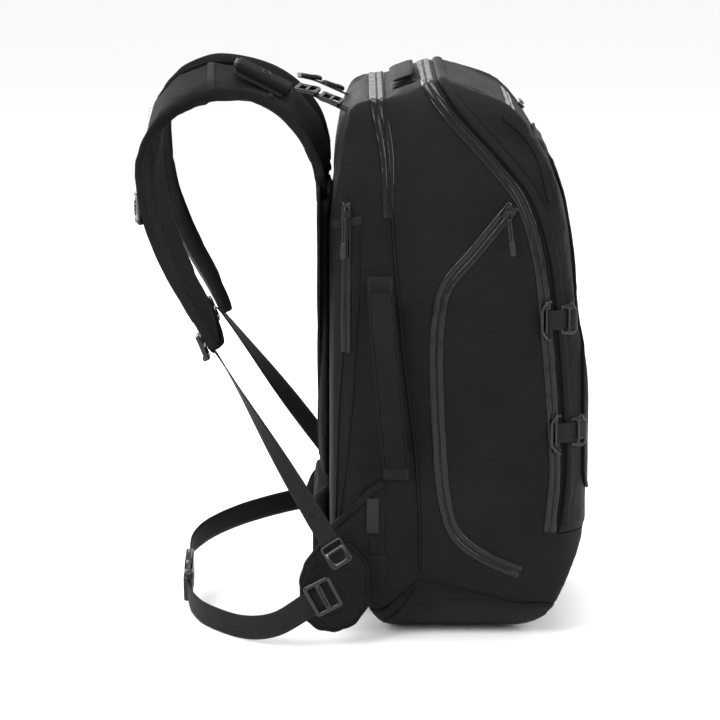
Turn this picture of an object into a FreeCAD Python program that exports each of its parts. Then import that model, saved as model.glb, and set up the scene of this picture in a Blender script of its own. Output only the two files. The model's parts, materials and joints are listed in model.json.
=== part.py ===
import FreeCAD, Part
import math
import os
from types import SimpleNamespace

import Sketcher

# Technical backpack with a folded avalanche airbag inside, modelled as the sewn
# and moulded pieces that it is made of.  Millimetres.  +Z is up, +X points away
# from the wearer, -Y is the wearer's left.  The origin is the middle of the flat
# base, on the surface that the pack stands on.

V = FreeCAD.Vector
doc = FreeCAD.newDocument("airbag_backpack")

# ---------------------------------------------------------------- driving sizes
SIZES = [
    ("bag_height", 572), ("bag_depth", 263), ("bag_width", 330), ("top_width", 270),
    ("shoulder_height", 470), ("base_radius", 80), ("top_radius", 60),
    ("front_corner", 60), ("back_corner", 28),
    ("wall", 3), ("skin", 1.6), ("tape_width", 15), ("seam_gap", 0.6), ("gap", 0.4),
    ("hinge_height", 112),
    ("sheet_width", 230), ("sheet_height", 290), ("sheet_thick", 2), ("sheet_base", 130),
    ("stay_width", 14), ("stay_thick", 3),
    ("pad_width", 250), ("pad_thick", 9), ("cover_thick", 3),
    ("lumbar_width", 210), ("lumbar_height", 84), ("lumbar_thick", 16),
    ("strap_width", 61), ("strap_thick", 15),
    ("hip_web", 25), ("web", 20), ("web_thick", 1.6),
    ("wing_thick", 10),
    ("handle_width", 27), ("handle_thick", 5), ("handle_rise", 22), ("handle_stand", 11),
    ("top_handle_rise", 10), ("top_handle_span", 150),
    ("buckle_thick", 9), ("buckle_width", 34), ("buckle_length", 34), ("tongue_length", 16),
    ("sternum_travel", 12), ("hip_travel", 17), ("web_hold", 2.5),
    ("ladder_width", 34), ("ladder_length", 30), ("ladder_thick", 4), ("ladder_bar", 4.5),
    ("slider_length", 14), ("slider_width", 9), ("slider_thick", 4),
    ("pull_length", 46), ("pull_width", 5), ("pull_thick", 2), ("pin_radius", 1.3),
    ("frame_height", 42), ("frame_depth", 13), ("frame_bar", 3.2),
    ("canister_radius", 30), ("canister_wall", 3), ("canister_length", 190), ("canister_base", 170),
    ("valve_radius", 16), ("valve_height", 34), ("duct_length", 26), ("cable_radius", 2),
    ("airbag_width", 210), ("airbag_height", 100), ("airbag_thick", 50),
    ("trigger_length", 40), ("trigger_width", 14), ("trigger_thick", 6),
    ("sleeve_length", 60), ("sleeve_wall", 1.5),
]
sheet = doc.addObject("Spreadsheet::Sheet", "Sizes")
for row, (name, value) in enumerate(SIZES, start=1):
    sheet.set(f"A{row}", name)
    sheet.set(f"B{row}", str(value))
    sheet.setAlias(f"B{row}", name)
doc.recompute()
d = SimpleNamespace(**{name: float(getattr(sheet, name)) for name, _ in SIZES})

# The outlines below were drawn at these sizes; they stretch with the sheet.
DRAWN_HEIGHT = 572.0
DRAWN_DEPTH = 263.0
DRAWN_WIDTH = 330.0
stretch_z = d.bag_height / DRAWN_HEIGHT
stretch_x = d.bag_depth / DRAWN_DEPTH
stretch_y = d.bag_width / DRAWN_WIDTH
half_width = d.bag_width / 2
BIG = 2000.0
JOIN_TOLERANCE = 0.001

nodes = []


def keep(obj):
    """Mark a document object as a finished piece of the pack."""
    nodes.append(obj)
    return obj


def feature(label, shape):
    """A piece whose shape is worked out with Part's own functions."""
    obj = doc.addObject("Part::Feature", label)
    obj.Label = label
    obj.Shape = shape
    return keep(obj)


# ------------------------------------------------------------------ 2D outlines
def lift(plane, a, b):
    """A point of a drawing plane as a point in space."""
    return {"XZ": V(a, 0, b), "YZ": V(0, a, b), "XY": V(a, b, 0)}[plane]


def rounded_wire(plane, corners, closed=True):
    """Lines through the corners (a, b, radius), each corner rounded by an arc."""
    points = [lift(plane, c[0], c[1]) for c in corners]
    radii = [c[2] if len(c) > 2 else 0 for c in corners]
    count = len(points)
    starts, ends, arcs = [], [], []
    for i in range(count):
        here = points[i]
        is_end = not closed and i in (0, count - 1)
        if is_end or radii[i] == 0:
            starts.append(here)
            ends.append(here)
            arcs.append(None)
            continue
        back = (points[i - 1] - here).normalize()
        ahead = (points[(i + 1) % count] - here).normalize()
        half = math.acos(max(-1, min(1, back.dot(ahead)))) / 2
        reach = radii[i] / math.tan(half)
        room = 0.49 * min((points[i - 1] - here).Length, (points[(i + 1) % count] - here).Length)
        reach = min(reach, room)
        radius = reach * math.tan(half)
        middle = (back + ahead).normalize()
        summit = here + middle * (radius / math.sin(half) - radius)
        first = here + back * reach
        last = here + ahead * reach
        starts.append(first)
        ends.append(last)
        arcs.append(Part.Arc(first, summit, last).toShape())
    edges = []
    for i in range(count if closed else count - 1):
        if arcs[i]:
            edges.append(arcs[i])
        nxt = (i + 1) % count
        if (starts[nxt] - ends[i]).Length > 1e-6:
            edges.append(Part.LineSegment(ends[i], starts[nxt]).toShape())
    return Part.Wire(edges)


def scaled(corners):
    """Side-view corners stretched to the bag's present depth and height."""
    return [(c[0] * stretch_x, c[1] * stretch_z) + tuple(c[2:]) for c in corners]


SIDE_VIEW = scaled([
    (-64, 0, 34), (-121, 100, 90), (-121, 430, 200), (-100, 548, 16), (-50, 553, 80), (-14, 571, 40),
    (62, 547, 60), (104, 479, 120), (140, 260, 260), (141, 108, 130), (92, 0, 60),
])
FRONT_VIEW = [
    (-half_width, 0, d.base_radius), (half_width, 0, d.base_radius),
    (half_width, d.shoulder_height, 100),
    (d.top_width / 2, d.bag_height, d.top_radius),
    (-d.top_width / 2, d.bag_height, d.top_radius),
    (-half_width, d.shoulder_height, 100),
]
BACK_X = -121 * stretch_x
FRONT_X = 142 * stretch_x
TOP_VIEW = [
    (BACK_X, -half_width, d.back_corner), (FRONT_X, -half_width, d.front_corner),
    (FRONT_X, half_width, d.front_corner), (BACK_X, half_width, d.back_corner),
]

form_cache = {}


def bag_form(grow=0.0):
    """The bag's outer form, grown or shrunk by an even distance."""
    key = round(grow, 4)
    if key not in form_cache:
        prisms = []
        for plane, corners, along in (
            ("XZ", SIDE_VIEW, V(0, 1, 0)), ("YZ", FRONT_VIEW, V(1, 0, 0)), ("XY", TOP_VIEW, V(0, 0, 1)),
        ):
            wire = rounded_wire(plane, corners)
            if grow:
                wire = wire.makeOffset2D(grow)
            face = Part.Face(wire)
            face.translate(along * -BIG / 2)
            prisms.append(face.extrude(along * BIG))
        side_and_front = prisms[0].common([prisms[1]], JOIN_TOLERANCE)
        form_cache[key] = side_and_front.common([prisms[2]], JOIN_TOLERANCE).removeSplitter()
    return form_cache[key]


def skin(inner, outer):
    """The layer between two even distances from the bag's surface."""
    return bag_form(outer).cut(bag_form(inner))


def smooth(corners, steps=4):
    """Side-view points joined by a smooth curve and sampled evenly."""
    pts = [V(c[0], 0, c[1]) for c in corners]
    curve = Part.BSplineCurve()
    curve.interpolate(pts)
    return curve.toShape().discretize(steps * (len(pts) - 1) + 1)


def band_face(points, left, right):
    """A strip beside a path in the side view, from left to right of it."""
    sides = ([], [])
    for i, here in enumerate(points):
        before = points[max(i - 1, 0)]
        after = points[min(i + 1, len(points) - 1)]
        along = (after - before).normalize()
        across = V(along.z, 0, -along.x)
        sides[0].append(here - across * left)
        sides[1].append(here + across * right)
    return Part.Face(Part.makePolygon(sides[0] + sides[1][::-1] + [sides[0][0]]))


def across_bag(face, side=None):
    """A side-view face carried through the bag: all of it, or one side only."""
    start, length = {None: (-BIG / 2, BIG), "left": (-BIG / 2, BIG / 2), "right": (0, BIG / 2)}[side]
    face = face.copy()
    face.translate(V(0, start, 0))
    return face.extrude(V(0, length, 0))


def polygon_face(corners):
    points = [V(c[0], 0, c[1]) for c in corners]
    return Part.Face(Part.makePolygon(points + [points[0]]))


def mirrored(shape):
    """The same piece on the other side of the wearer's spine."""
    return shape.mirror(V(0, 0, 0), V(0, 1, 0))


def both_sides(shape):
    return Part.makeCompound([shape, mirrored(shape)])


# ------------------------------------------------------------- sewn bands, pads
def band(stations):
    """A strap or strip: stations of (centre, width vector, thickness)."""
    sections = []
    for i, (centre, wide, thick) in enumerate(stations):
        before = stations[max(i - 1, 0)][0]
        after = stations[min(i + 1, len(stations) - 1)][0]
        along = (after - before).normalize()
        normal = along.cross(wide).normalize() * (thick / 2)
        half = wide * 0.5
        ring = [centre - half - normal, centre + half - normal,
                centre + half + normal, centre - half + normal]
        sections.append(Part.makePolygon(ring + [ring[0]]))
    return Part.makeLoft(sections, True, True)


def placed(shape, centre, along, wide):
    """A copy whose X runs along the strap and whose Y lies across it."""
    along = V(along).normalize()
    normal = along.cross(V(wide)).normalize()
    across = normal.cross(along)
    turned = shape.copy()
    turned.Placement = FreeCAD.Placement(V(centre), FreeCAD.Rotation(along, across, normal, "XYZ"))
    return turned


# ------------------------------------------------------------ hardware in sketches
def origin_plane(body, role):
    return [f for f in body.Origin.OriginFeatures if f.Role == role][0]


def rectangle(body, name, width, height, shift=0.0):
    """A rectangle centred on the body's X axis, its sides bound to the sheet."""
    sketch = body.newObject("Sketcher::SketchObject", name)
    sketch.AttachmentSupport = [(origin_plane(body, "XY_Plane"), "")]
    sketch.MapMode = "FlatFace"
    corners = [V(-5 + shift, -5, 0), V(5 + shift, -5, 0), V(5 + shift, 5, 0), V(-5 + shift, 5, 0)]
    for i in range(4):
        sketch.addGeometry(Part.LineSegment(corners[i], corners[(i + 1) % 4]))
    for i in range(4):
        sketch.addConstraint(Sketcher.Constraint("Coincident", i, 2, (i + 1) % 4, 1))
    for i in (0, 2):
        sketch.addConstraint(Sketcher.Constraint("Horizontal", i))
    for i in (1, 3):
        sketch.addConstraint(Sketcher.Constraint("Vertical", i))
    wide = sketch.addConstraint(Sketcher.Constraint("DistanceX", 0, 1, 0, 2, 10))
    sketch.setExpression(f"Constraints[{wide}]", width)
    tall = sketch.addConstraint(Sketcher.Constraint("DistanceY", 1, 1, 1, 2, 10))
    sketch.setExpression(f"Constraints[{tall}]", height)
    below = sketch.addConstraint(Sketcher.Constraint("DistanceY", 0, 1, -1, 1, 5))
    sketch.setExpression(f"Constraints[{below}]", f"({height}) / 2")
    left = sketch.addConstraint(Sketcher.Constraint("DistanceX", -1, 1, 0, 1, -5 + shift))
    sketch.setExpression(f"Constraints[{left}]", f"{shift} - ({width}) / 2")
    return sketch


def pad(body, name, sketch, length):
    block = body.newObject("PartDesign::Pad", name)
    block.Profile = sketch
    block.setExpression("Length", length)
    sketch.Visibility = False
    return block


def pocket(body, name, sketch, length):
    """A cut upwards through the body; its volume is compared before and after."""
    before = body.Shape.Volume
    cut = body.newObject("PartDesign::Pocket", name)
    cut.Profile = sketch
    cut.Reversed = True
    cut.setExpression("Length", length)
    doc.recompute()
    if not body.Shape.Volume < before:
        raise RuntimeError(f"{name} removed nothing")
    return cut


def ladder_lock(label, width, length):
    """A moulded strap adjuster: a frame with two slots either side of a bar."""
    body = doc.addObject("PartDesign::Body", label)
    outline = rectangle(body, label + "_outline", length, width)
    pad(body, label + "_plate", outline, "Sizes.ladder_thick")
    doc.recompute()
    slot = f"({length} - 3 * Sizes.ladder_bar) / 2"
    inner = f"{width} - 2 * Sizes.ladder_bar"
    step = (getattr(d, length.split(".")[1]) - d.ladder_bar) / 4 + d.ladder_bar / 4
    for i, side in enumerate((-1, 1)):
        hole = rectangle(body, f"{label}_slot_{i}", slot, inner, side * step)
        pocket(body, f"{label}_cut_{i}", hole, "Sizes.ladder_thick")
    return body


lock_body = ladder_lock("ladder_lock_pattern", "Sizes.ladder_width", "Sizes.ladder_length")
doc.recompute()
lock_shape = lock_body.Shape.copy()


def small_lock(scale_x, scale_y):
    """The same adjuster moulded for narrower webbing."""
    matrix = FreeCAD.Matrix()
    matrix.scale(V(scale_x, scale_y, 0.8))
    return lock_shape.transformGeometry(matrix)


# ===================================================================== the bag
SEAM = scaled([
    (110, 117), (115, 178), (111, 250), (106, 311), (97, 392), (78, 453), (49, 492),
    (-5, 552), (-30, 600),
])
GUSSET = scaled([(-29, 66), (-32, 170), (-47, 304), (-57, 419), (-66, 541), (-69, 600)])
SIDE_ZIP = scaled([(62, 449), (-12, 359, 30), (-8, 190, 200), (5, 110, 45), (72, 74)])
TOP_ZIP = scaled([(-62, 436), (-63, 492), (-70, 535), (-82, 600)])
BOTTOM_EDGE = scaled([(-160, 30), (-66, 30), (-29, 66), (70, 38), (170, 38)])

seam_path = smooth(SEAM)


def front_zone(shift):
    """Everything in front of the main zip's seam, moved forward by shift."""
    edge = [p + V(shift, 0, 0) for p in seam_path]
    foot = [V(BIG, 0, d.hinge_height + shift), V(edge[0].x, 0, d.hinge_height + shift)]
    ring = foot + edge + [V(BIG, 0, edge[-1].z)]
    return across_bag(Part.Face(Part.makePolygon(ring + [ring[0]])))


BELOW = -50.0
gusset_path = smooth(GUSSET)
back_ring = [V(-BIG, 0, BELOW), V(gusset_path[0].x, 0, BELOW)] + gusset_path + [V(-BIG, 0, gusset_path[-1].z)]
back_zone = across_bag(Part.Face(Part.makePolygon(back_ring + [back_ring[0]])))
low = [V(x, 0, z) for x, z in BOTTOM_EDGE]
under_edge = across_bag(Part.Face(Part.makePolygon(
    low + [V(low[-1].x, 0, BELOW), V(low[0].x, 0, BELOW), low[0]])))

shell = skin(-d.wall, 0)
fixed_shell = shell.cut(front_zone(0))
bottom_panel = fixed_shell.common(under_edge)
upper_shell = fixed_shell.cut(under_edge)
feature("back_compartment", upper_shell.common(back_zone))
feature("main_compartment", upper_shell.cut(back_zone))
feature("bottom_panel", bottom_panel)
feature("front_panel", shell.common(front_zone(d.seam_gap)))

outer = bag_form(0)
raised = skin(0, d.skin)
half_tape = d.tape_width / 2

# Coated zip tapes lie on the cloth; the main zip's tape stays behind its seam.
seam_on_shell = band_face([p - V(d.seam_gap, 0, 0) for p in seam_path], d.tape_width * 0.6, 0)
feature("main_zip_tape", raised.common(across_bag(seam_on_shell)))
feature("top_zip_tape", raised.common(across_bag(band_face(smooth(TOP_ZIP), half_tape, half_tape))))
side_zip_wire = rounded_wire("XZ", SIDE_ZIP, closed=False)
side_zip_path = side_zip_wire.discretize(40)
side_tape = raised.common(across_bag(band_face(side_zip_path, half_tape, half_tape), "left"))
feature("side_zip_tape", side_tape)

# The reinforced cloth low on each side, which takes the small pocket and the tag.
POCKET = scaled([(-116, 60), (-119, 118), (-79, 162), (-66, 168), (-62, 40), (-70, 34)])
pocket_inner = half_width - d.back_corner
back_middle = Part.makeBox(BIG, 2 * pocket_inner, BIG, V(-BIG, -pocket_inner, 0))
pocket_left = raised.common(across_bag(polygon_face(POCKET), "left")).cut(back_middle)
feature("side_pockets", both_sides(pocket_left))
tag_face = polygon_face(scaled([(-84, 116), (-72, 116), (-71, 152), (-83, 152)]))
tag = skin(d.skin, d.skin + 1.2).common(across_bag(tag_face, "left"))
feature("label_tag", tag)

# ------------------------------------------------ front panel, pocket and straps
pocket_top = 500 * stretch_z
pocket_low = 150 * stretch_z
pocket_half = half_width - 32
pocket_face = Part.Face(rounded_wire("YZ", [
    (-pocket_half, pocket_low, 40), (pocket_half, pocket_low, 40),
    (pocket_half - 16, pocket_top, 30), (-pocket_half + 16, pocket_top, 30)]))
pocket_face.translate(V(SEAM[3][0] * 0.5, 0, 0))
feature("front_pocket", skin(0, 2.4).common(pocket_face.extrude(V(BIG, 0, 0))))
zip_low = 528 * stretch_z
zip_box = Part.makeBox(BIG, 190 * stretch_y, d.tape_width, V(0, -95 * stretch_y, zip_low))
feature("front_pocket_zip_tape", raised.common(zip_box))

# ---------------------------------------------------- frame sheet and its stays
inner_back = BACK_X + d.wall + d.gap


def bound_box(label, length, width, height, place, radius=None):
    """A Part box bound to the sheet; its upright or cross edges may be rounded."""
    box = doc.addObject("Part::Box", label if radius is None else label + "_block")
    box.setExpression("Length", length)
    box.setExpression("Width", width)
    box.setExpression("Height", height)
    box.Placement = FreeCAD.Placement(place, FreeCAD.Rotation())
    doc.recompute()
    if radius is None:
        box.Label = label
        return keep(box)
    fillet = doc.addObject("Part::Fillet", label)
    fillet.Base = box
    fillet.Edges = [(i + 1, radius, radius) for i in range(12)]
    box.Visibility = False
    fillet.Label = label
    doc.recompute()
    return keep(fillet)


bound_box("frame_sheet", "Sizes.sheet_thick", "Sizes.sheet_width", "Sizes.sheet_height",
          V(inner_back, -d.sheet_width / 2, d.sheet_base))
stay_x = inner_back + d.sheet_thick + 0.1
stays = [
    Part.makeBox(d.stay_thick, d.stay_width, d.sheet_height - 20,
                 V(stay_x, side * d.sheet_width * 0.26 - d.stay_width / 2, d.sheet_base + 10))
    for side in (-1, 1)
]
feature("frame_stays", Part.makeCompound(stays))

# ------------------------------------------------------- back pad, cover, lumbar
pad_low = 150 * stretch_z
pad_high = 448 * stretch_z
pad_back = BACK_X - d.pad_thick
pad_face = [(-d.pad_width / 2, pad_low, 60), (d.pad_width / 2, pad_low, 60),
            (d.pad_width / 2, pad_high, 30), (-d.pad_width / 2, pad_high, 30)]


def back_layer(corners, front, back):
    """A layer of an even thickness lying behind the bag's back."""
    face = Part.Face(rounded_wire("YZ", corners))
    face.translate(V(back, 0, 0))
    return face.extrude(V(front - back, 0, 0)).cut(outer)


feature("back_pad", back_layer(pad_face, BACK_X + 14, pad_back))
cover_low = 172 * stretch_z
cover_high = 460 * stretch_z
cover_half = d.pad_width / 2 + 22
cover_face = [(-cover_half + 60, cover_low, 40), (cover_half - 60, cover_low, 40),
              (cover_half, cover_high - 60, 120), (cover_half - 4, cover_high, 16),
              (-cover_half + 4, cover_high, 16), (-cover_half, cover_high - 60, 120)]
cover_back = pad_back - d.cover_thick
feature("harness_cover", back_layer(cover_face, pad_back, cover_back))
lumbar_low = 56 * stretch_z
lumbar_face = [(-d.lumbar_width / 2, lumbar_low, 34), (d.lumbar_width / 2, lumbar_low, 34),
               (d.lumbar_width / 2, lumbar_low + d.lumbar_height, 34),
               (-d.lumbar_width / 2, lumbar_low + d.lumbar_height, 34)]
feature("lumbar_pad", back_layer(lumbar_face, BACK_X + 30, BACK_X - d.lumbar_thick))

# ------------------------------------------------------------ harness zip (left)
harness_low = 300 * stretch_z
harness_high = 452 * stretch_z
harness_x = -104 * stretch_x
harness_strip = polygon_face([(harness_x - 7, harness_low), (harness_x + 7, harness_low),
                              (harness_x + 7, harness_high), (harness_x - 7, harness_high)])
harness_side = across_bag(harness_strip, "left")
feature("harness_zip_tape", raised.common(harness_side))

# -------------------------------------------------------------- shoulder straps
# Centre of the strap, then how far its inner edge leans forward and rises over
# the strap's width, its width and its thickness as shares of the full ones.
STRAP = [
    (-127, -61, 449, 4, 18, 0.90, 0.55), (-129, -61, 480, 6, 18, 0.93, 0.75),
    (-140, -62, 512, 11, 17, 0.97, 0.90),
    (-160, -61, 537, 10, 20, 1.0, 1.0), (-180, -61, 551, 6, 23, 1.0, 1.0), (-205, -61, 560, 0, 25, 1.0, 1.0),
    (-240, -63, 562, -3, 29, 1.0, 1.0), (-272, -68, 550, -5, 27, 1.0, 1.0),
    (-294, -77, 529, -2, 20, 1.0, 1.0),
    (-302, -88, 500, 8, 10, 1.0, 1.0), (-302, -95, 466, 12, 0, 1.0, 1.0), (-296, -100, 432, 13, -2, 1.0, 1.0),
    (-284, -104, 397, 16, -5, 1.0, 1.0), (-270, -107, 366, 17, -5, 0.97, 1.0),
    (-254, -109, 337, 16, -4, 0.9, 0.95),
    (-241, -110, 311, 14, -4, 0.74, 0.85), (-234, -110, 292, 10, -2, 0.5, 0.7),
]


def strap_station(row):
    x, y, z, lean, rise, wide, thick = row
    full = d.strap_width * wide
    side = V(lean, 60, rise).normalize() * full
    return V(x * stretch_x, y * stretch_y, z * stretch_z), side, d.strap_thick * thick


strap_stations = [strap_station(row) for row in STRAP]
strap_left = band(strap_stations)
cover_space = back_layer(cover_face, BACK_X + 30, cover_back - d.gap)
strap_left = strap_left.cut(bag_form(d.gap)).cut(cover_space)
feature("shoulder_strap_left", strap_left)
feature("shoulder_strap_right", mirrored(strap_left))

# Webbing rails sewn down the straps' outer faces carry the sternum strap.
strap_half = d.strap_thick / 2
rail_offset = strap_half + d.gap + d.web_thick / 2


def outward(side):
    """The direction that a strap's outer face looks, from its width vector."""
    return V(0, 0, 1).cross(side).normalize()


rail_rows = [strap_station(row) for row in STRAP[9:13]]
rail = band([
    (centre + outward(side) * (rail_offset + 0.6), V(side).normalize() * d.web * 0.5, d.web_thick)
    for centre, side, _ in rail_rows
])
feature("sternum_rails", both_sides(rail))

# --------------------------------------------------- lower webbing and its locks
strap_end, end_side, _ = strap_stations[-1]
lock_along = V(0.42, 0, -0.91)
lock_place = strap_end + V(-17, 0, 4)
lower_lock = placed(small_lock(0.9, 0.8), lock_place, lock_along, V(0, 1, 0))
feature("strap_ladder_locks", both_sides(lower_lock.cut(strap_left)))

LOWER_TOP = V(strap_end.x + 3, strap_end.y, strap_end.z - 10)
LOWER_FOOT = V(-120 * stretch_x, -(half_width + 33), 114 * stretch_z)
TWIST_STEPS = 9


def twisted(top, foot, start_side, end_side, width, thick):
    """Webbing pulled straight between two points while it turns about its length."""
    rows = []
    for i in range(TWIST_STEPS):
        share = i / (TWIST_STEPS - 1)
        side = (start_side * (1 - share) + end_side * share).normalize() * width
        rows.append((top * (1 - share) + foot * share, side, thick))
    return band(rows)


lower_run = LOWER_FOOT - LOWER_TOP
foot_side = V(-lower_run.z, 0, lower_run.x).normalize()
lower_web = twisted(LOWER_TOP, LOWER_FOOT, V(0, 1, 0), foot_side * -1, d.web, d.web_thick)
lower_web = lower_web.cut(strap_left)
feature("lower_webbing", both_sides(lower_web))
hook_place = LOWER_FOOT + V(lower_run).normalize() * (0.35 * d.ladder_length + 3)
hook = placed(small_lock(0.75, 0.72), hook_place, lower_run, foot_side)
feature("webbing_hooks", both_sides(hook.cut(lower_web)))

# ------------------------------------------------------------------ load lifters
LIFTER = [(-154, -64, 553), (-138, -67, 549), (-120, -70, 541), (-96, -74, 530)]
lifter_points = [V(x * stretch_x, y * stretch_y, z * stretch_z) for x, y, z in LIFTER]
lifter = band([(p, V(0, d.web, 0), d.web_thick) for p in lifter_points]).cut(strap_left).cut(bag_form(d.gap))
feature("load_lifter_webbing", both_sides(lifter))
lifter_locks = []
for start, end in ((0, 1), (2, 3)):
    middle = lifter_points[start] * 0.35 + lifter_points[end] * 0.65 if start == 0 else lifter_points[2]
    lock = placed(small_lock(0.6, 0.8), middle, lifter_points[end] - lifter_points[start], V(0, 1, 0))
    lock.translate(V(0, 0, 1) * (d.web_thick / 2 + d.gap))
    lifter_locks.append(lock.cut(bag_form(d.gap)).cut(lifter))
both_lifter_locks = [s for lock in lifter_locks for s in (lock, mirrored(lock))]
feature("load_lifter_buckles", Part.makeCompound(both_lifter_locks))

# --------------------------------------------- trigger handle in its strap sleeve
sleeve_along = V(-45, 0, 23).normalize()
sleeve_side = V(0, 60, 23).normalize()
sleeve_up = V(0, -sleeve_side.z, sleeve_side.y)
sleeve_thick = d.trigger_thick + 2 * (d.sleeve_wall + d.gap)
sleeve_wide = d.trigger_width + 2 * (d.sleeve_wall + d.gap)
sleeve_seat = V(-187 * stretch_x, -61 * stretch_y, 553.5 * stretch_z)
sleeve_middle = sleeve_seat + sleeve_up * (strap_half + sleeve_thick / 2 + 1.2)
sleeve_block = Part.makeBox(d.sleeve_length, sleeve_wide, sleeve_thick,
                            V(-d.sleeve_length / 2, -sleeve_wide / 2, -sleeve_thick / 2))
hole_wide = sleeve_wide - 2 * d.sleeve_wall
hole_thick = sleeve_thick - 2 * d.sleeve_wall
SLEEVE_END = 8.0
sleeve_hole = Part.makeBox(d.sleeve_length, hole_wide, hole_thick,
                           V(-d.sleeve_length / 2 + SLEEVE_END, -hole_wide / 2, -hole_thick / 2))
sleeve = placed(sleeve_block.cut(sleeve_hole), sleeve_middle, sleeve_along, sleeve_side)
feature("trigger_sleeve", sleeve.cut(strap_left))
TRIGGER_PROUD = 3.0
trigger_start = d.sleeve_length / 2 - d.trigger_length + TRIGGER_PROUD
trigger_block = Part.makeBox(d.trigger_length, d.trigger_width, d.trigger_thick,
                             V(trigger_start, -d.trigger_width / 2, -d.trigger_thick / 2))
trigger_block = trigger_block.makeFillet(2, trigger_block.Edges)
feature("trigger_handle", placed(trigger_block, sleeve_middle, sleeve_along, sleeve_side))

# ------------------------------------------------------------- grab handle pieces
side_top = (-70 * stretch_x, 364 * stretch_z)
side_foot = (-54 * stretch_x, 184 * stretch_z)
handle_y = half_width + d.handle_stand
TAB_LENGTH = 28.0
HANDLE_STEPS = 9


def side_handle_station(i):
    share = i / (HANDLE_STEPS - 1)
    bow = math.sin(math.pi * share) ** 0.7
    x = side_top[0] * (1 - share) + side_foot[0] * share
    z = side_top[1] * (1 - share) + side_foot[1] * share
    return V(x, -(handle_y + d.handle_rise * bow), z), V(d.handle_width, 0, 0), d.handle_thick


feature("side_handle", band([side_handle_station(i) for i in range(HANDLE_STEPS)]))


def side_tab(x, z):
    corners = [(x - d.handle_width / 2, z - TAB_LENGTH / 2), (x + d.handle_width / 2, z - TAB_LENGTH / 2),
               (x + d.handle_width / 2, z + TAB_LENGTH / 2), (x - d.handle_width / 2, z + TAB_LENGTH / 2)]
    return skin(0, d.skin + 1).common(across_bag(polygon_face(corners), "left"))


top_x = -47.5 * stretch_x
top_z = bag_form(0).common(Part.makeLine(V(top_x, 0, 0), V(top_x, 0, BIG))).BoundBox.ZMax
half_span = d.top_handle_span / 2
TOP_SLOPE = V(math.cos(math.radians(20)), 0, math.sin(math.radians(20)))


def top_handle_station(i):
    share = i / (HANDLE_STEPS - 1)
    crown = 2 * math.sin(math.pi * share)
    return (V(top_x, (2 * share - 1) * half_span, top_z + d.top_handle_rise + crown),
            TOP_SLOPE * d.handle_width, d.handle_thick * 0.6)


feature("top_handle", band([top_handle_station(i) for i in range(HANDLE_STEPS)]))
top_tab_zone = Part.makeBox(d.handle_width, TAB_LENGTH, BIG,
                            V(top_x - d.handle_width / 2, -half_span - 4, top_z - 40))
top_tab = skin(0, d.skin + 1).common(top_tab_zone)
tabs = [side_tab(*side_top), side_tab(*side_foot), top_tab, mirrored(top_tab)]
feature("handle_tabs", Part.makeCompound(tabs))

# ------------------------------------------------------------- compression straps
FRAMES = [(96, 333), (107, 217)]


def surface_y(x, z, grow=0.0):
    """How far out the near side lies at a place in the side view."""
    probe = Part.makeLine(V(x, -BIG, z), V(x, 0, z)).common(bag_form(grow))
    return probe.BoundBox.YMin


def hex_frame(x, z):
    """A six-sided webbing frame, open towards the front so that the strap can leave it."""
    tall = d.frame_height / 2
    deep = d.frame_depth / 2
    ring = polygon_face([(x - deep, z - tall * 0.62), (x + deep * 0.4, z - tall), (x + deep, z - tall),
                         (x + deep, z + tall), (x + deep * 0.4, z + tall), (x - deep, z + tall * 0.62)])
    hole = polygon_face([(x - deep + d.frame_bar, z - tall * 0.56), (x + deep * 0.4, z - tall + d.frame_bar),
                         (x + deep + 1, z - tall + d.frame_bar), (x + deep + 1, z + tall - d.frame_bar),
                         (x + deep * 0.4, z + tall - d.frame_bar), (x - deep + d.frame_bar, z + tall * 0.56)])
    near = min(surface_y(x - deep, z), surface_y(x + deep, z)) - d.skin - 0.1
    plate = ring.cut(hole)
    plate.translate(V(0, near - d.frame_bar, 0))
    return plate.extrude(V(0, d.frame_bar, 0))


frames, straps, locks = [], [], []
for x, z in scaled(FRAMES):
    frames.append(hex_frame(x, z))
    start = x - d.frame_depth / 2 + d.frame_bar + 0.8
    reach = 30 * stretch_x
    web_zone = across_bag(polygon_face([(start, z - d.web / 2), (start + reach, z - d.web / 2),
                                        (start + reach, z + d.web / 2), (start, z + d.web / 2)]), "left")
    straps.append(skin(2.9, 2.9 + d.web_thick).common(web_zone))
    lock_x = x + 22 * stretch_x
    lock_zone = across_bag(polygon_face([(lock_x - 8, z - 16), (lock_x + 9, z - 16),
                                         (lock_x + 9, z + 16), (lock_x - 8, z + 16)]), "left")
    hole_zone = across_bag(polygon_face([(lock_x - 4, z - 11.5), (lock_x + 4, z - 11.5),
                                         (lock_x + 4, z + 11.5), (lock_x - 4, z + 11.5)]), "left")
    locks.append(skin(4.9, 8.2).common(lock_zone).cut(hole_zone))
feature("compression_frames", Part.makeCompound([s for f in frames for s in (f, mirrored(f))]))
feature("compression_straps", Part.makeCompound([s for f in straps for s in (f, mirrored(f))]))
feature("compression_buckles", Part.makeCompound([s for f in locks for s in (f, mirrored(f))]))

# -------------------------------------------------------- zip sliders and pulls
SLIDER_ROUND = 1.2


def report_joint(name, place, axis):
    """Say where a joint lies, in metres, for whoever writes the assembly down."""
    axis = V(axis).normalize()
    print(f"joint {name}: at {[round(v / 1000, 5) for v in place]} axis {[round(v, 5) for v in axis]}")


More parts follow.
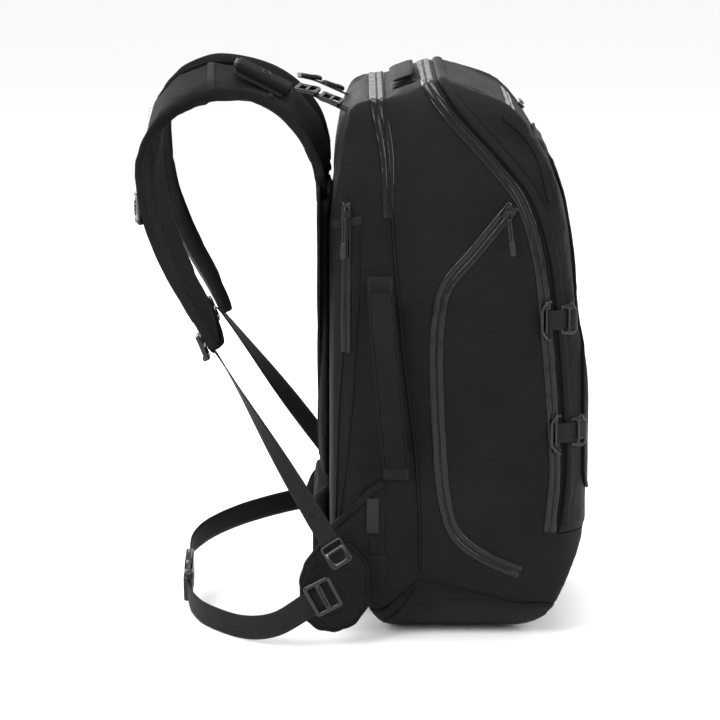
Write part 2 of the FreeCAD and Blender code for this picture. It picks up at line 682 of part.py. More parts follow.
def slider_and_pull(label, place, along, out, hang, pull_length, thick=None):
    """A slider on its tape, with a pin that carries a hanging pull."""
    side = V(out).cross(V(along))
    thick = thick or d.slider_thick
    body = Part.makeBox(d.slider_length, d.slider_width, thick,
                        V(-d.slider_length / 2, -d.slider_width / 2, 0))
    top_edges = [e for e in body.Edges if e.CenterOfMass.z > thick - SLIDER_ROUND / 4]
    body = body.makeFillet(SLIDER_ROUND, top_edges)
    pin = Part.makeCylinder(d.pin_radius, d.pull_thick + 2 * d.gap + 1, V(0, 0, thick - 0.5))
    head = Part.makeCylinder(d.pin_radius + 1.2, 1, V(0, 0, thick + d.pull_thick + 2 * d.gap))
    slider = placed(body.fuse(pin).fuse(head), place, along, side)
    half = d.pull_width / 2
    tab = Part.makeBox(pull_length - half, d.pull_width, d.pull_thick, V(0, -half, 0))
    tab = tab.fuse(Part.makeCylinder(half, d.pull_thick))
    grip = Part.makeBox(pull_length * 0.3, d.pull_width + 1.6, d.pull_thick + 1.2,
                        V(pull_length * 0.7 - half, -half - 0.8, 0))
    tab = tab.fuse(grip).cut(Part.makeCylinder(d.pin_radius + 0.15, d.pull_thick * 3, V(0, 0, -d.pull_thick)))
    hanging = placed(tab, place + V(out).normalize() * (thick + d.gap), hang, V(out).cross(V(hang)))
    feature(label + "_slider", slider)
    feature(label + "_pull", hanging)
    report_joint(label + "_slide", place, along)
    report_joint(label + "_pull", place, out)


NEAR = V(0, -1, 0)
FAR = V(0, 1, 0)
SHORT_PULL = 30.0
SLIDER_INSET = 9.0
side_run = (V(SIDE_ZIP[1][0], 0, SIDE_ZIP[1][1]) - side_zip_path[0]).normalize()
side_start = side_zip_path[0] + side_run * SLIDER_INSET
side_place = V(side_start.x, surface_y(side_start.x, side_start.z) - d.skin - d.gap, side_start.z)
slider_and_pull("side_zip", side_place, side_run, NEAR, V(0.1, 0, -1), d.pull_length)

taper = math.atan2(half_width - d.top_width / 2, d.bag_height - d.shoulder_height)
top_place = V(TOP_ZIP[1][0], 0, TOP_ZIP[1][1] + 6 * stretch_z)
top_place.y = -surface_y(top_place.x, top_place.z) + (d.skin + d.gap) / math.cos(taper)
top_along = V(-0.08, -math.sin(taper), math.cos(taper))
top_out = V(0, math.cos(taper), math.sin(taper))
slider_and_pull("top_zip", top_place, top_along, top_out, top_along * -1, SHORT_PULL)

BEHIND_SEAM = 4.5
main_place = V((SEAM[2][0] + SEAM[3][0]) / 2 - BEHIND_SEAM, half_width + d.skin + d.gap,
               (SEAM[2][1] + SEAM[3][1]) / 2 - 4)
main_run = V(SEAM[3][0] - SEAM[2][0], 0, SEAM[3][1] - SEAM[2][1])
slider_and_pull("main_zip", main_place, main_run, FAR, V(0, 0, -1), SHORT_PULL)

harness_face = surface_y(harness_x, harness_high - SLIDER_INSET, d.skin) - d.gap - 1.2
harness_place = V(harness_x, harness_face, harness_high - SLIDER_INSET)
slider_and_pull("harness_zip", harness_place, V(0, 0, -1), V(-0.35, -0.94, 0), V(0, 0, -1), d.pull_length + 4)

panel_zip_x = skin(0, d.skin).common(
    Part.makeLine(V(-BIG, 0, zip_low + half_tape), V(BIG, 0, zip_low + half_tape))).BoundBox.XMax
zip_normal = V(0.62, 0, 0.78)
panel_zip_place = V(panel_zip_x, -70 * stretch_y, zip_low + half_tape) + zip_normal * (d.gap + 0.8)
front_body = Part.makeBox(d.slider_length, d.slider_width, d.slider_thick,
                          V(-d.slider_length / 2, -d.slider_width / 2, 0))
front_tab = Part.makeBox(26, d.pull_width, d.pull_thick, V(2, -d.pull_width / 2, d.slider_thick))
front_slider = placed(front_body.fuse(front_tab), panel_zip_place, V(0, 1, 0), zip_normal.cross(V(0, 1, 0)))
feature("front_pocket_slider", front_slider)

# ---------------------------------------------------------------- sternum strap
sternum_z = 436 * stretch_z
clip_centre, clip_side, _ = strap_station(STRAP[11])
clip_centre = V(clip_centre.x, clip_centre.y, sternum_z)
clip_out = outward(clip_side)
CLIP_STAND = 5.8
clip_gap = rail_offset + d.web_thick / 2 + CLIP_STAND
clip_box = Part.makeBox(6, 18, 34, V(-3, -9, -17))
clip_box = clip_box.makeFillet(2, clip_box.Edges)
clip_turn = FreeCAD.Rotation(clip_out, V(0, 0, 1).cross(clip_out), V(0, 0, 1), "ZXY")
clip_box.Placement = FreeCAD.Placement(clip_centre + clip_out * (clip_gap + 3), clip_turn)
feature("sternum_sliders", both_sides(clip_box))

STERNUM_X = clip_box.BoundBox.XMin + 1.5
CHANNEL_START = 2.0


def side_release(width_share, origin, along, wide):
    """A side-release buckle: the female half, and the male half that rides on its webbing."""
    length = d.buckle_length * width_share
    width = d.buckle_width * width_share
    thick = d.buckle_thick * width_share
    tongue = d.tongue_length * width_share
    shell_block = Part.makeBox(length, width, thick, V(-length - 1, -width / 2, -thick / 2))
    shell_block = shell_block.makeFillet(1.5 * width_share, shell_block.Edges)
    room = Part.makeBox(tongue + 2, width * 0.72, thick * 0.56, V(-tongue - 3, -width * 0.36, -thick * 0.28))
    female = shell_block.cut(room)
    plug = Part.makeBox(tongue, width * 0.72 - 2 * d.gap, thick * 0.56 - 2 * d.gap,
                        V(-tongue - 0.5, -width * 0.36 + d.gap, -thick * 0.28 + d.gap))
    rear = Part.makeBox(length * 0.72, width, thick, V(-0.6, -width / 2, -thick / 2))
    rear = rear.makeFillet(1.5 * width_share, rear.Edges)
    male = rear.fuse(plug)
    return placed(female, origin, along, wide), placed(male, origin, along, wide), length


def channel(origin, along, wide, width, length):
    """The slot that lets a buckle slide along its webbing; its nose stays solid."""
    play = 2 * d.gap
    block = Part.makeBox(length, width + 2 * play, d.web_thick + 2 * play,
                         V(CHANNEL_START, -width / 2 - play, -d.web_thick / 2 - play))
    return placed(block, origin, along, wide)


sternum_origin = V(STERNUM_X - 1, 0, sternum_z)
sternum_female, sternum_male, sternum_length = side_release(0.72, sternum_origin, V(0, 1, 0), V(0, 0, 1))
sternum_web = d.web * 0.8
web_start = d.sternum_travel + d.web_hold
CHANNEL_REACH = 90.0
sternum_male = sternum_male.cut(channel(sternum_origin, V(0, 1, 0), V(0, 0, 1), sternum_web, CHANNEL_REACH))
clip_inner = clip_box.BoundBox.YMax
sternum_left = band([
    (V(STERNUM_X - 1, y, sternum_z), V(0, 0, sternum_web), d.web_thick)
    for y in (clip_inner, clip_inner * 0.7, -sternum_length - 1)
])
sternum_right = band([
    (V(STERNUM_X - 1, y, sternum_z), V(0, 0, sternum_web), d.web_thick)
    for y in (web_start, 48, -clip_inner)
])
sternum_parts = [sternum_left.cut(clip_box), sternum_right.cut(mirrored(clip_box))]
feature("sternum_webbing", Part.makeCompound(sternum_parts))
feature("sternum_buckle_female", sternum_female)
feature("sternum_buckle_male", sternum_male)

# --------------------------------------------------------------------- hip belt
WING = [
    (-80, 9, 64, 44), (-96, 11, 64, 84), (-114, 15, 65, 98),
    (-131, 22, 65, 92), (-145, 29, 62, 58), (-151, 31, 60, 30),
]
wing_rows = [
    (V(x * stretch_x, -(half_width + y), z * stretch_z), V(0, 0, tall * stretch_z), d.wing_thick)
    for x, y, z, tall in WING
]
wing_left = band(wing_rows).cut(bag_form(d.skin + 0.8))
feature("hip_wing_left", wing_left)
feature("hip_wing_right", mirrored(wing_left))

wing_face = half_width + 29 + d.wing_thick / 2
HIP_TILT = math.radians(18)
hip_along = V(0, math.cos(HIP_TILT), math.sin(HIP_TILT))
hip_wide = V(0, -math.sin(HIP_TILT), math.cos(HIP_TILT))
hip_origin = V(-271.5 * stretch_x, -5, 32)
hip_female, hip_male, hip_length = side_release(1.0, hip_origin, hip_along, hip_wide)
hip_web_start = d.hip_travel + d.web_hold
HIP_TRAVEL_ROOM = 52.0
hip_male = hip_male.cut(channel(hip_origin, hip_along, hip_wide, d.hip_web, CHANNEL_REACH))
upright = V(0, 0, 1)


def hip_row(x, y, z, side=upright):
    return V(x * stretch_x, y * stretch_y, z), V(side).normalize() * d.hip_web, d.web_thick


near_rows = [
    hip_row(-126, -204, 62, V(0.4, 0, 1)), hip_row(-148, -202, 46, V(0.35, 0, 1)),
    hip_row(-171, -191, 29, V(0.2, 0, 1)), hip_row(-192, -173, 19, V(0.1, 0, 1)),
    hip_row(-213, -151, 14), hip_row(-235, -125, 13.3), hip_row(-254, -95, 13.6),
    hip_row(-266, -66, 17), (hip_origin - hip_along * (hip_length + 2), hip_wide * d.hip_web, d.web_thick),
]
far_rows = [
    (hip_origin + hip_along * hip_web_start, hip_wide * d.hip_web, d.web_thick),
    (hip_origin + hip_along * HIP_TRAVEL_ROOM, hip_wide * d.hip_web, d.web_thick),
    hip_row(-262, 72, 54), hip_row(-246, 100, 58), hip_row(-222, 132, 61), hip_row(-195, 160, 63),
    hip_row(-165, 188, 64), hip_row(-148, 202, 63), hip_row(-126, 204, 62),
]
near_web = band(near_rows).cut(wing_left)
far_web = band(far_rows).cut(mirrored(wing_left))
feature("hip_webbing", Part.makeCompound([near_web, far_web]))
lock_centre = V(-127 * stretch_x, -(wing_face + 2 * d.web_thick + 3.2), 61 * stretch_z)
hip_lock_left = placed(lock_shape, lock_centre, V(0.88, 0, 0.47), V(-0.47, 0, 0.88))
hip_lock_left = hip_lock_left.cut(near_web).cut(wing_left)
right_centre = V(lock_centre.x, -lock_centre.y + 1, lock_centre.z)
hip_lock_right = placed(lock_shape, right_centre, V(1, 0, 0), V(0, 0, 1))
hip_lock_right = hip_lock_right.cut(far_web).cut(mirrored(wing_left))
feature("hip_ladder_locks", Part.makeCompound([hip_lock_left, hip_lock_right]))
feature("hip_buckle_female", hip_female)
feature("hip_buckle_male", hip_male)

# ------------------------------------------------------------ inflation system
canister_x = stay_x + d.stay_thick + 1 + d.canister_radius
canister_y = 0.24 * d.bag_width
tube = doc.addObject("Part::Cylinder", "canister_tube")
tube.setExpression("Radius", "Sizes.canister_radius")
tube.setExpression("Height", "Sizes.canister_length")
tube.Placement = FreeCAD.Placement(V(canister_x, canister_y, d.canister_base), FreeCAD.Rotation())
bore = doc.addObject("Part::Cylinder", "canister_bore")
bore.setExpression("Radius", "Sizes.canister_radius - Sizes.canister_wall")
bore.setExpression("Height", "Sizes.canister_length - 2 * Sizes.canister_wall")
bore_place = V(canister_x, canister_y, d.canister_base + d.canister_wall)
bore.Placement = FreeCAD.Placement(bore_place, FreeCAD.Rotation())
shoulder, foot = d.canister_radius * 0.5, d.canister_radius * 0.3


def rounded_ends(name, cylinder, inset):
    """A cylinder with its upper and lower edges rounded, less by the wall inside."""
    rounded = doc.addObject("Part::Fillet", name)
    rounded.Base = cylinder
    rounded.Edges = [(1, shoulder - inset, shoulder - inset), (3, foot - inset, foot - inset)]
    return rounded


canister = doc.addObject("Part::Cut", "gas_canister")
canister.Base = rounded_ends("canister_outside", tube, 0)
canister.Tool = rounded_ends("canister_inside", bore, d.canister_wall)
canister.Label = "gas_canister"
doc.recompute()
keep(canister)
canister_top = d.canister_base + d.canister_length
valve = Part.makeCylinder(d.valve_radius, d.valve_height, V(canister_x, canister_y, canister_top))
port_z = canister_top + d.valve_height / 2
port_reach = d.valve_radius + 8
port = Part.makeCylinder(d.valve_radius * 0.45, port_reach, V(canister_x, canister_y, port_z), V(0, -1, 0))
airbag_low = canister_top + d.valve_height + d.duct_length
duct = Part.makeCylinder(d.valve_radius * 0.6, airbag_low - canister_top - d.valve_height + 1,
                         V(canister_x, canister_y, canister_top + d.valve_height - 1))
feature("inflator_valve", valve.fuse(port).fuse(duct))
band_low = d.canister_base + d.canister_length * 0.4
CANISTER_BAND = 22.0
band_place = V(canister_x, canister_y, band_low)
strap_ring = Part.makeCylinder(d.canister_radius + 2, CANISTER_BAND, band_place)
strap_ring = strap_ring.cut(Part.makeCylinder(d.canister_radius, CANISTER_BAND, band_place))
behind_stays = Part.makeBox(BIG, BIG, BIG, V(stay_x + d.stay_thick - BIG, -BIG / 2, band_low - 5))
feature("canister_strap", strap_ring.cut(behind_stays))
airbag_x = -82 * stretch_x
bound_box("airbag", "Sizes.airbag_thick", "Sizes.airbag_width", "Sizes.airbag_height",
          V(airbag_x, -d.airbag_width / 2, airbag_low + 1), 14)

cable_back = stay_x + d.stay_thick + d.cable_radius + 1
cable_run = [
    V(cable_back, -61, airbag_low - 10), V(cable_back + 2, -20, airbag_low - 14),
    V(canister_x, 18, port_z), V(canister_x, canister_y - port_reach, port_z),
]


def rounded_path(points):
    """Straight runs joined by arcs as large as the runs allow."""
    edges = []
    start = points[0]
    for before, here, after in zip(points, points[1:], points[2:]):
        back = (before - here).normalize()
        ahead = (after - here).normalize()
        reach = 0.45 * min((before - here).Length, (after - here).Length)
        first, last = here + back * reach, here + ahead * reach
        half = back.getAngle(ahead) / 2
        radius = reach * math.tan(half)
        print(f"cable bend radius {radius:.0f} mm")
        summit = here + (back + ahead).normalize() * (radius / math.sin(half) - radius)
        edges.append(Part.LineSegment(start, first).toShape())
        edges.append(Part.Arc(first, summit, last).toShape())
        start = last
    edges.append(Part.LineSegment(start, points[-1]).toShape())
    return Part.Wire(edges)


cable_path = rounded_path(cable_run)
section = Part.Wire(Part.makeCircle(d.cable_radius, cable_run[0], cable_run[1] - cable_run[0]))
cable = cable_path.makePipeShell([section], True, False)
expected = math.pi * d.cable_radius ** 2 * cable_path.Length
print(f"cable volume {cable.Volume:.0f} of {expected:.0f} mm3, length {cable_path.Length:.0f} mm")
feature("trigger_cable", cable)

hinge_front = bag_form(0).common(Part.makeLine(
    V(0, 0, d.hinge_height), V(BIG, 0, d.hinge_height))).BoundBox.XMax + 0.6
report_joint("front_panel_open", V(hinge_front, 0, d.hinge_height + 0.3), V(0, 1, 0))
report_joint("front_pocket_zip", panel_zip_place, V(0, 1, 0))
report_joint("top_handle", V(top_x, 0, top_z + d.top_handle_rise), V(0, 1, 0))
report_joint("side_handle", V((side_top[0] + side_foot[0]) / 2, -handle_y, (side_top[1] + side_foot[1]) / 2),
             V(side_top[0] - side_foot[0], 0, side_top[1] - side_foot[1]))
report_joint("sternum_height", V(STERNUM_X, 0, sternum_z), V(-0.15, 0, 0.989))
report_joint("sternum_buckle", sternum_origin, V(0, 1, 0))
report_joint("hip_belt_lift", V(-112 * stretch_x, 0, 85 * stretch_z), V(0, 1, 0))
report_joint("hip_buckle", hip_origin, hip_along)
report_joint("trigger_pull", sleeve_middle, sleeve_along)

# --------------------------------------------------------------- check and write
doc.recompute()
for obj in doc.Objects:
    if "Invalid" in obj.State or "Error" in obj.State:
        raise RuntimeError(f"{obj.Label} failed: {obj.State}")
os.makedirs("parts", exist_ok=True)
for node in nodes:
    shape = node.Shape
    if shape.isNull() or not shape.isValid() or not shape.Solids:
        raise RuntimeError(f"{node.Label} has no valid solid")
    shape.exportStep(f"parts/{node.Label}.step")
    box = shape.BoundBox
    low_corner = f"{box.XMin:7.1f} {box.YMin:7.1f} {box.ZMin:7.1f}"
    high_corner = f"{box.XMax:7.1f} {box.YMax:7.1f} {box.ZMax:7.1f}"
    amount = f"{len(shape.Solids)} solids {shape.Volume / 1000:8.1f} cm3"
    print(f"{node.Label:24s} {amount} {low_corner} to {high_corner}")
print(f"{len(nodes)} pieces")
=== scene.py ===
# %% [markdown]
# An avalanche airbag backpack, standing on a pale floor.  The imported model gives
# every size and place; this lesson adds the looks.  The real pack is sewn from
# coated cloth panels that meet in piped seams, with coil zips, padded straps and
# moulded buckles.  Cloth is made by a short simulation, straps and tapes are swept
# along paths laid on the cloth, and stitches and zip teeth are scattered by nodes.

# %% Load the frame
import json
import math

import bmesh
import bpy
from mathutils import Matrix, Vector, noise
from mathutils.bvhtree import BVHTree
from mathutils.kdtree import KDTree

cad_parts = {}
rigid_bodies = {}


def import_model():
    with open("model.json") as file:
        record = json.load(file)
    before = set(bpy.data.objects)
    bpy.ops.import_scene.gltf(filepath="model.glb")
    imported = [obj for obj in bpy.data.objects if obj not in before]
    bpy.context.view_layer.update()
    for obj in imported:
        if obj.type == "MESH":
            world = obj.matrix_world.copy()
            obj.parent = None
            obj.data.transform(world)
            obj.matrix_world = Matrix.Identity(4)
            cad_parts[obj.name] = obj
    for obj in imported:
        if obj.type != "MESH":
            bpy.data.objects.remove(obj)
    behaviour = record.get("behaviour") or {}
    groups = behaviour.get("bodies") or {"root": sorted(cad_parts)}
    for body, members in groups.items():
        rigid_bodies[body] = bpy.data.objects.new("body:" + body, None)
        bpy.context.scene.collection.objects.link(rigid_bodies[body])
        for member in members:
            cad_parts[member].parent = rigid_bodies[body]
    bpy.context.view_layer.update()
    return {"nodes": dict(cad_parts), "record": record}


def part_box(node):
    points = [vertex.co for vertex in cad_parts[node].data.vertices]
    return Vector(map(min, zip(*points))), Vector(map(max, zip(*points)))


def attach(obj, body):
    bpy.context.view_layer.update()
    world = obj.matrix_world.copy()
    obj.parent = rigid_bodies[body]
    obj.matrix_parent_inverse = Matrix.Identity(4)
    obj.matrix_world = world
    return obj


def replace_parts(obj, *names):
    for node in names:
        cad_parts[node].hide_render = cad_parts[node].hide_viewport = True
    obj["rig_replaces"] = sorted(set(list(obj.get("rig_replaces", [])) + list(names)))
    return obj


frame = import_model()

MM = 0.001
NEAR, FAR = -1, 1
LEFT_OUT = Vector((0, -1, 0))
UP = Vector((0, 0, 1))
joints = {j["name"]: j for j in frame["record"]["behaviour"]["joints"]}

# %% [markdown]
# The camera stands level with the pack's upper half and looks slightly down at
# its side, from far enough away that the far strap is hardly smaller than the
# near one.  A long lens does this: the field of view is small, the distance large.

# %% Camera, lights and floor
CAMERA_DISTANCE = 3.2
CAMERA_ELEVATION = math.radians(11)
CAMERA_TARGET = Vector((-0.090, 0, 0.261))
CAMERA_LENS = 152


def aim(obj, target):
    obj.rotation_euler = (Vector(target) - obj.location).to_track_quat("-Z", "Y").to_euler()


def add_object(name, data):
    obj = bpy.data.objects.new(name, data)
    bpy.context.scene.collection.objects.link(obj)
    return obj


camera_data = bpy.data.cameras.new("side_camera")
camera_data.lens = CAMERA_LENS
camera = add_object("side_camera", camera_data)
offset = Vector((0, -math.cos(CAMERA_ELEVATION), math.sin(CAMERA_ELEVATION)))
camera.location = CAMERA_TARGET + offset * CAMERA_DISTANCE
aim(camera, CAMERA_TARGET)
bpy.context.scene.camera = camera


def softbox(name, place, target, size, power):
    data = bpy.data.lights.new(name, "AREA")
    data.shape = "SQUARE"
    data.size = size
    data.energy = power
    lamp = add_object(name, data)
    lamp.location = place
    aim(lamp, target)


MIDDLE = (0.0, 0.0, 0.30)
softbox("key_softbox", (-1.6, -1.9, 2.0), MIDDLE, 1.1, 60)
softbox("front_softbox", (1.9, -1.5, 1.3), MIDDLE, 1.2, 34)
softbox("top_softbox", (0.1, 0.4, 2.6), MIDDLE, 1.5, 40)
softbox("back_softbox", (-1.2, 2.2, 1.5), MIDDLE, 1.4, 30)

world = bpy.data.worlds.new("studio")
world.use_nodes = True
world.node_tree.nodes["Background"].inputs["Color"].default_value = (1, 1, 1, 1)
world.node_tree.nodes["Background"].inputs["Strength"].default_value = 1.0
bpy.context.scene.world = world
bpy.context.scene.view_settings.view_transform = "Standard"

floor_mesh = bpy.data.meshes.new("floor")
FLOOR = 30.0
floor_mesh.from_pydata([(-FLOOR, -FLOOR, 0), (FLOOR, -FLOOR, 0), (FLOOR, FLOOR, 0), (-FLOOR, FLOOR, 0)],
                       [], [(0, 1, 2, 3)])
floor = add_object("floor", floor_mesh)
floor_material = bpy.data.materials.new("floor_paper")
floor_material.use_nodes = True
floor_shader = floor_material.node_tree.nodes["Principled BSDF"]
floor_shader.inputs["Base Color"].default_value = (0.93, 0.93, 0.93, 1)
floor_shader.inputs["Roughness"].default_value = 0.85
floor_mesh.materials.append(floor_material)
print("camera at", [round(v, 3) for v in camera.location])

# %% [markdown]
# Every finish on the pack is nearly black, so what tells cloth from tape and
# plastic is texture and gloss.  Four effects come back in many finishes: woven
# threads, a grid of thicker threads, uneven rubbing, and the ribs of webbing.
# Each is a node group, built once, which gives out only masks and heights.

# %% Shader groups for the repeated effects


class Graph:
    """A short way to add and join nodes in one node tree."""

    def __init__(self, tree):
        self.tree = tree

    def node(self, kind, **settings):
        made = self.tree.nodes.new(kind)
        for key, value in settings.items():
            setattr(made, key, value)
        return made

    def join(self, start, end):
        self.tree.links.new(start, end)

    def feed(self, value, socket):
        if isinstance(value, bpy.types.NodeSocket):
            self.join(value, socket)
        else:
            socket.default_value = value

    def math(self, kind, a, b=0.0, clamp=False):
        made = self.node("ShaderNodeMath", operation=kind, use_clamp=clamp)
        self.feed(a, made.inputs[0])
        self.feed(b, made.inputs[1])
        return made.outputs[0]

    def noise(self, vector, scale, detail=3.0, rough=0.55):
        made = self.node("ShaderNodeTexNoise")
        self.join(vector, made.inputs["Vector"])
        self.feed(scale, made.inputs["Scale"])
        made.inputs["Detail"].default_value = detail
        made.inputs["Roughness"].default_value = rough
        return made.outputs["Fac"]

    def stretch(self, vector, scale):
        made = self.node("ShaderNodeMapping")
        self.join(vector, made.inputs["Vector"])
        made.inputs["Scale"].default_value = scale
        return made.outputs["Vector"]

    def blend(self, mask, dark, light):
        made = self.node("ShaderNodeMix", data_type="RGBA")
        self.feed(mask, made.inputs["Factor"])
        self.feed(dark, made.inputs["A"])
        self.feed(light, made.inputs["B"])
        return made.outputs["Result"]


def shader_group(name, inputs, outputs):
    """A node group with a vector input, named number inputs and number outputs."""
    tree = bpy.data.node_groups.new(name, "ShaderNodeTree")
    tree.interface.new_socket("Vector", in_out="INPUT", socket_type="NodeSocketVector")
    for label, value in inputs.items():
        made = tree.interface.new_socket(label, in_out="INPUT", socket_type="NodeSocketFloat")
        made.default_value = value
    for label in outputs:
        tree.interface.new_socket(label, in_out="OUTPUT", socket_type="NodeSocketFloat")
    graph = Graph(tree)
    return graph, graph.node("NodeGroupInput").outputs, graph.node("NodeGroupOutput").inputs


def weave_group():
    graph, given, out = shader_group("woven_threads", {"Pitch": 0.0009, "Slub": 0.3}, ["Height", "Shade"])
    split = graph.node("ShaderNodeSeparateXYZ")
    graph.join(given["Vector"], split.inputs[0])
    turn = graph.math("DIVIDE", 2 * math.pi, given["Pitch"])
    across = graph.math("ADD", split.outputs["X"], split.outputs["Y"])
    warp = graph.math("SINE", graph.math("MULTIPLY", across, turn))
    weft = graph.math("SINE", graph.math("MULTIPLY", split.outputs["Z"], turn))
    threads = graph.math("MULTIPLY", graph.math("MULTIPLY", warp, weft), 0.5)
    slub = graph.noise(graph.stretch(given["Vector"], (22, 22, 620)), 1.0, 2.0)
    uneven = graph.math("MULTIPLY", graph.math("SUBTRACT", slub, 0.5), given["Slub"])
    graph.join(graph.math("ADD", threads, graph.math("MULTIPLY", uneven, 2.0)), out["Height"])
    graph.join(graph.math("ADD", uneven, 0.5, clamp=True), out["Shade"])
    return graph.tree


def grid_group():
    graph, given, out = shader_group("ripstop_grid", {"Spacing": 0.005, "Thread": 0.12, "Upright": 0.4},
                                     ["Line"])
    split = graph.node("ShaderNodeSeparateXYZ")
    graph.join(given["Vector"], split.inputs[0])

    def lines(value):
        share = graph.math("FRACT", graph.math("DIVIDE", value, given["Spacing"]))
        return graph.math("LESS_THAN", share, given["Thread"])

    level = lines(split.outputs["Z"])
    upright = graph.math("MULTIPLY", lines(graph.math("ADD", split.outputs["X"], split.outputs["Y"])),
                         given["Upright"])
    graph.join(graph.math("MAXIMUM", level, upright), out["Line"])
    return graph.tree


def rubbed_group():
    graph, given, out = shader_group("rubbed_surface", {"Scale": 14.0, "Amount": 0.5}, ["Mask", "Fine"])
    broad = graph.noise(given["Vector"], given["Scale"], 5.0, 0.6)
    fine = graph.noise(given["Vector"], 900.0, 2.0)
    mask = graph.math("MULTIPLY", graph.math("SUBTRACT", broad, 0.35), given["Amount"], clamp=True)
    graph.join(mask, out["Mask"])
    graph.join(fine, out["Fine"])
    return graph.tree


def ribs_group():
    graph, given, out = shader_group("webbing_ribs", {"Pitch": 0.0016, "Width": 0.02}, ["Height", "Edge"])
    split = graph.node("ShaderNodeSeparateXYZ")
    graph.join(given["Vector"], split.inputs[0])
    turn = graph.math("DIVIDE", 2 * math.pi, given["Pitch"])
    across, along = split.outputs["X"], split.outputs["Y"]
    fold = graph.math("PINGPONG", across, 0.0025)
    slant = graph.math("ADD", along, fold)
    rib = graph.math("SINE", graph.math("MULTIPLY", slant, turn))
    side = graph.math("ABSOLUTE", graph.math("SUBTRACT", graph.math("DIVIDE", across, given["Width"]), 0.5))
    graph.join(graph.math("MULTIPLY", rib, 0.5), out["Height"])
    graph.join(graph.math("GREATER_THAN", side, 0.40), out["Edge"])
    return graph.tree


WEAVE, GRID, RUBBED, RIBS = weave_group(), grid_group(), rubbed_group(), ribs_group()
print("shader groups", [g.name for g in (WEAVE, GRID, RUBBED, RIBS)])

# %% [markdown]
# A finish then sets its own numbers on those groups.  The Principled shader stays
# in the finish itself, and what doesn't change over the surface is typed straight
# into its sockets.  Cloth reads object coordinates; webbing reads its own UV map,
# measured in metres, so that its ribs turn with the strap.

# %% Finishes


def rgba(value, tint=(1.0, 1.0, 1.0)):
    return tuple(value * t for t in tint) + (1.0,)


def start_finish(name, roughness, uv=False, **sockets):
    made = bpy.data.materials.new(name)
    made.use_nodes = True
    graph = Graph(made.node_tree)
    shader = made.node_tree.nodes["Principled BSDF"]
    shader.inputs["Roughness"].default_value = roughness
    for label, value in sockets.items():
        shader.inputs[label.replace("_", " ")].default_value = value
    place = graph.node("ShaderNodeTexCoord").outputs["UV" if uv else "Object"]
    return made, graph, shader, place


def use_group(graph, tree, place, **values):
    made = graph.node("ShaderNodeGroup", node_tree=tree)
    graph.join(place, made.inputs["Vector"])
    for label, value in values.items():
        made.inputs[label].default_value = value
    return made.outputs


def bump(graph, shader, height, distance, strength=1.0):
    made = graph.node("ShaderNodeBump")
    made.inputs["Distance"].default_value = distance
    made.inputs["Strength"].default_value = strength
    graph.join(height, made.inputs["Height"])
    graph.join(made.outputs["Normal"], shader.inputs["Normal"])


def cloth(name, value, roughness, pitch=0.9, slub=0.3, grid=0.0, spacing=5.0, upright=0.4,
          tint=(0.98, 1.0, 0.99),
          relief=0.10, **sockets):
    """Woven cloth with rubbed patches and, if grid is over 0, thicker threads in a grid."""
    sockets.setdefault("Specular_IOR_Level", 0.09)
    made, graph, shader, place = start_finish(name, roughness, **sockets)
    weave = use_group(graph, WEAVE, place, Pitch=pitch * MM, Slub=slub)
    rubbed = use_group(graph, RUBBED, place, Scale=11.0, Amount=0.7)
    mask = graph.math("ADD", graph.math("MULTIPLY", weave["Shade"], 0.55), rubbed["Mask"], clamp=True)
    height = weave["Height"]
    if grid:
        line = use_group(graph, GRID, place, Spacing=spacing * MM, Upright=upright)["Line"]
        mask = graph.math("ADD", mask, graph.math("MULTIPLY", line, grid), clamp=True)
        height = graph.math("ADD", height, graph.math("MULTIPLY", line, 1.3))
    graph.join(graph.blend(mask, rgba(value * 0.5, tint), rgba(value * 2.6, tint)),
               shader.inputs["Base Color"])
    rough = graph.math("SUBTRACT", roughness + 0.08, graph.math("MULTIPLY", rubbed["Mask"], 0.30))
    graph.join(rough, shader.inputs["Roughness"])
    bump(graph, shader, height, relief * MM)
    return made


def webbing(name, value, width, roughness=0.62):
    made, graph, shader, place = start_finish(name, roughness, uv=True, Specular_IOR_Level=0.15)
    ribs = use_group(graph, RIBS, place, Width=width * MM)
    fine = graph.noise(place, 700.0, 2.0)
    mask = graph.math("ADD", graph.math("MULTIPLY", ribs["Height"], 0.35), graph.math("MULTIPLY", fine, 0.5))
    mask = graph.math("ADD", mask, graph.math("MULTIPLY", ribs["Edge"], 0.55), clamp=True)
    graph.join(graph.blend(mask, rgba(value * 0.6), rgba(value * 2.0)), shader.inputs["Base Color"])
    bump(graph, shader, graph.math("ADD", ribs["Height"], ribs["Edge"]), 0.16 * MM)
    return made


def moulded(name, value, roughness, gloss=0.35, metallic=0.0, tint=(1.0, 1.0, 1.0)):
    made, graph, shader, place = start_finish(name, roughness, Metallic=metallic, Specular_IOR_Level=gloss)
    rubbed = use_group(graph, RUBBED, place, Scale=60.0, Amount=0.8)
    graph.join(graph.blend(rubbed["Mask"], rgba(value * 0.8, tint), rgba(value * 1.5, tint)),
               shader.inputs["Base Color"])
    graph.join(graph.math("ADD", roughness - 0.06, graph.math("MULTIPLY", rubbed["Mask"], 0.3)),
               shader.inputs["Roughness"])
    bump(graph, shader, rubbed["Fine"], 0.05 * MM, 0.6)
    return made


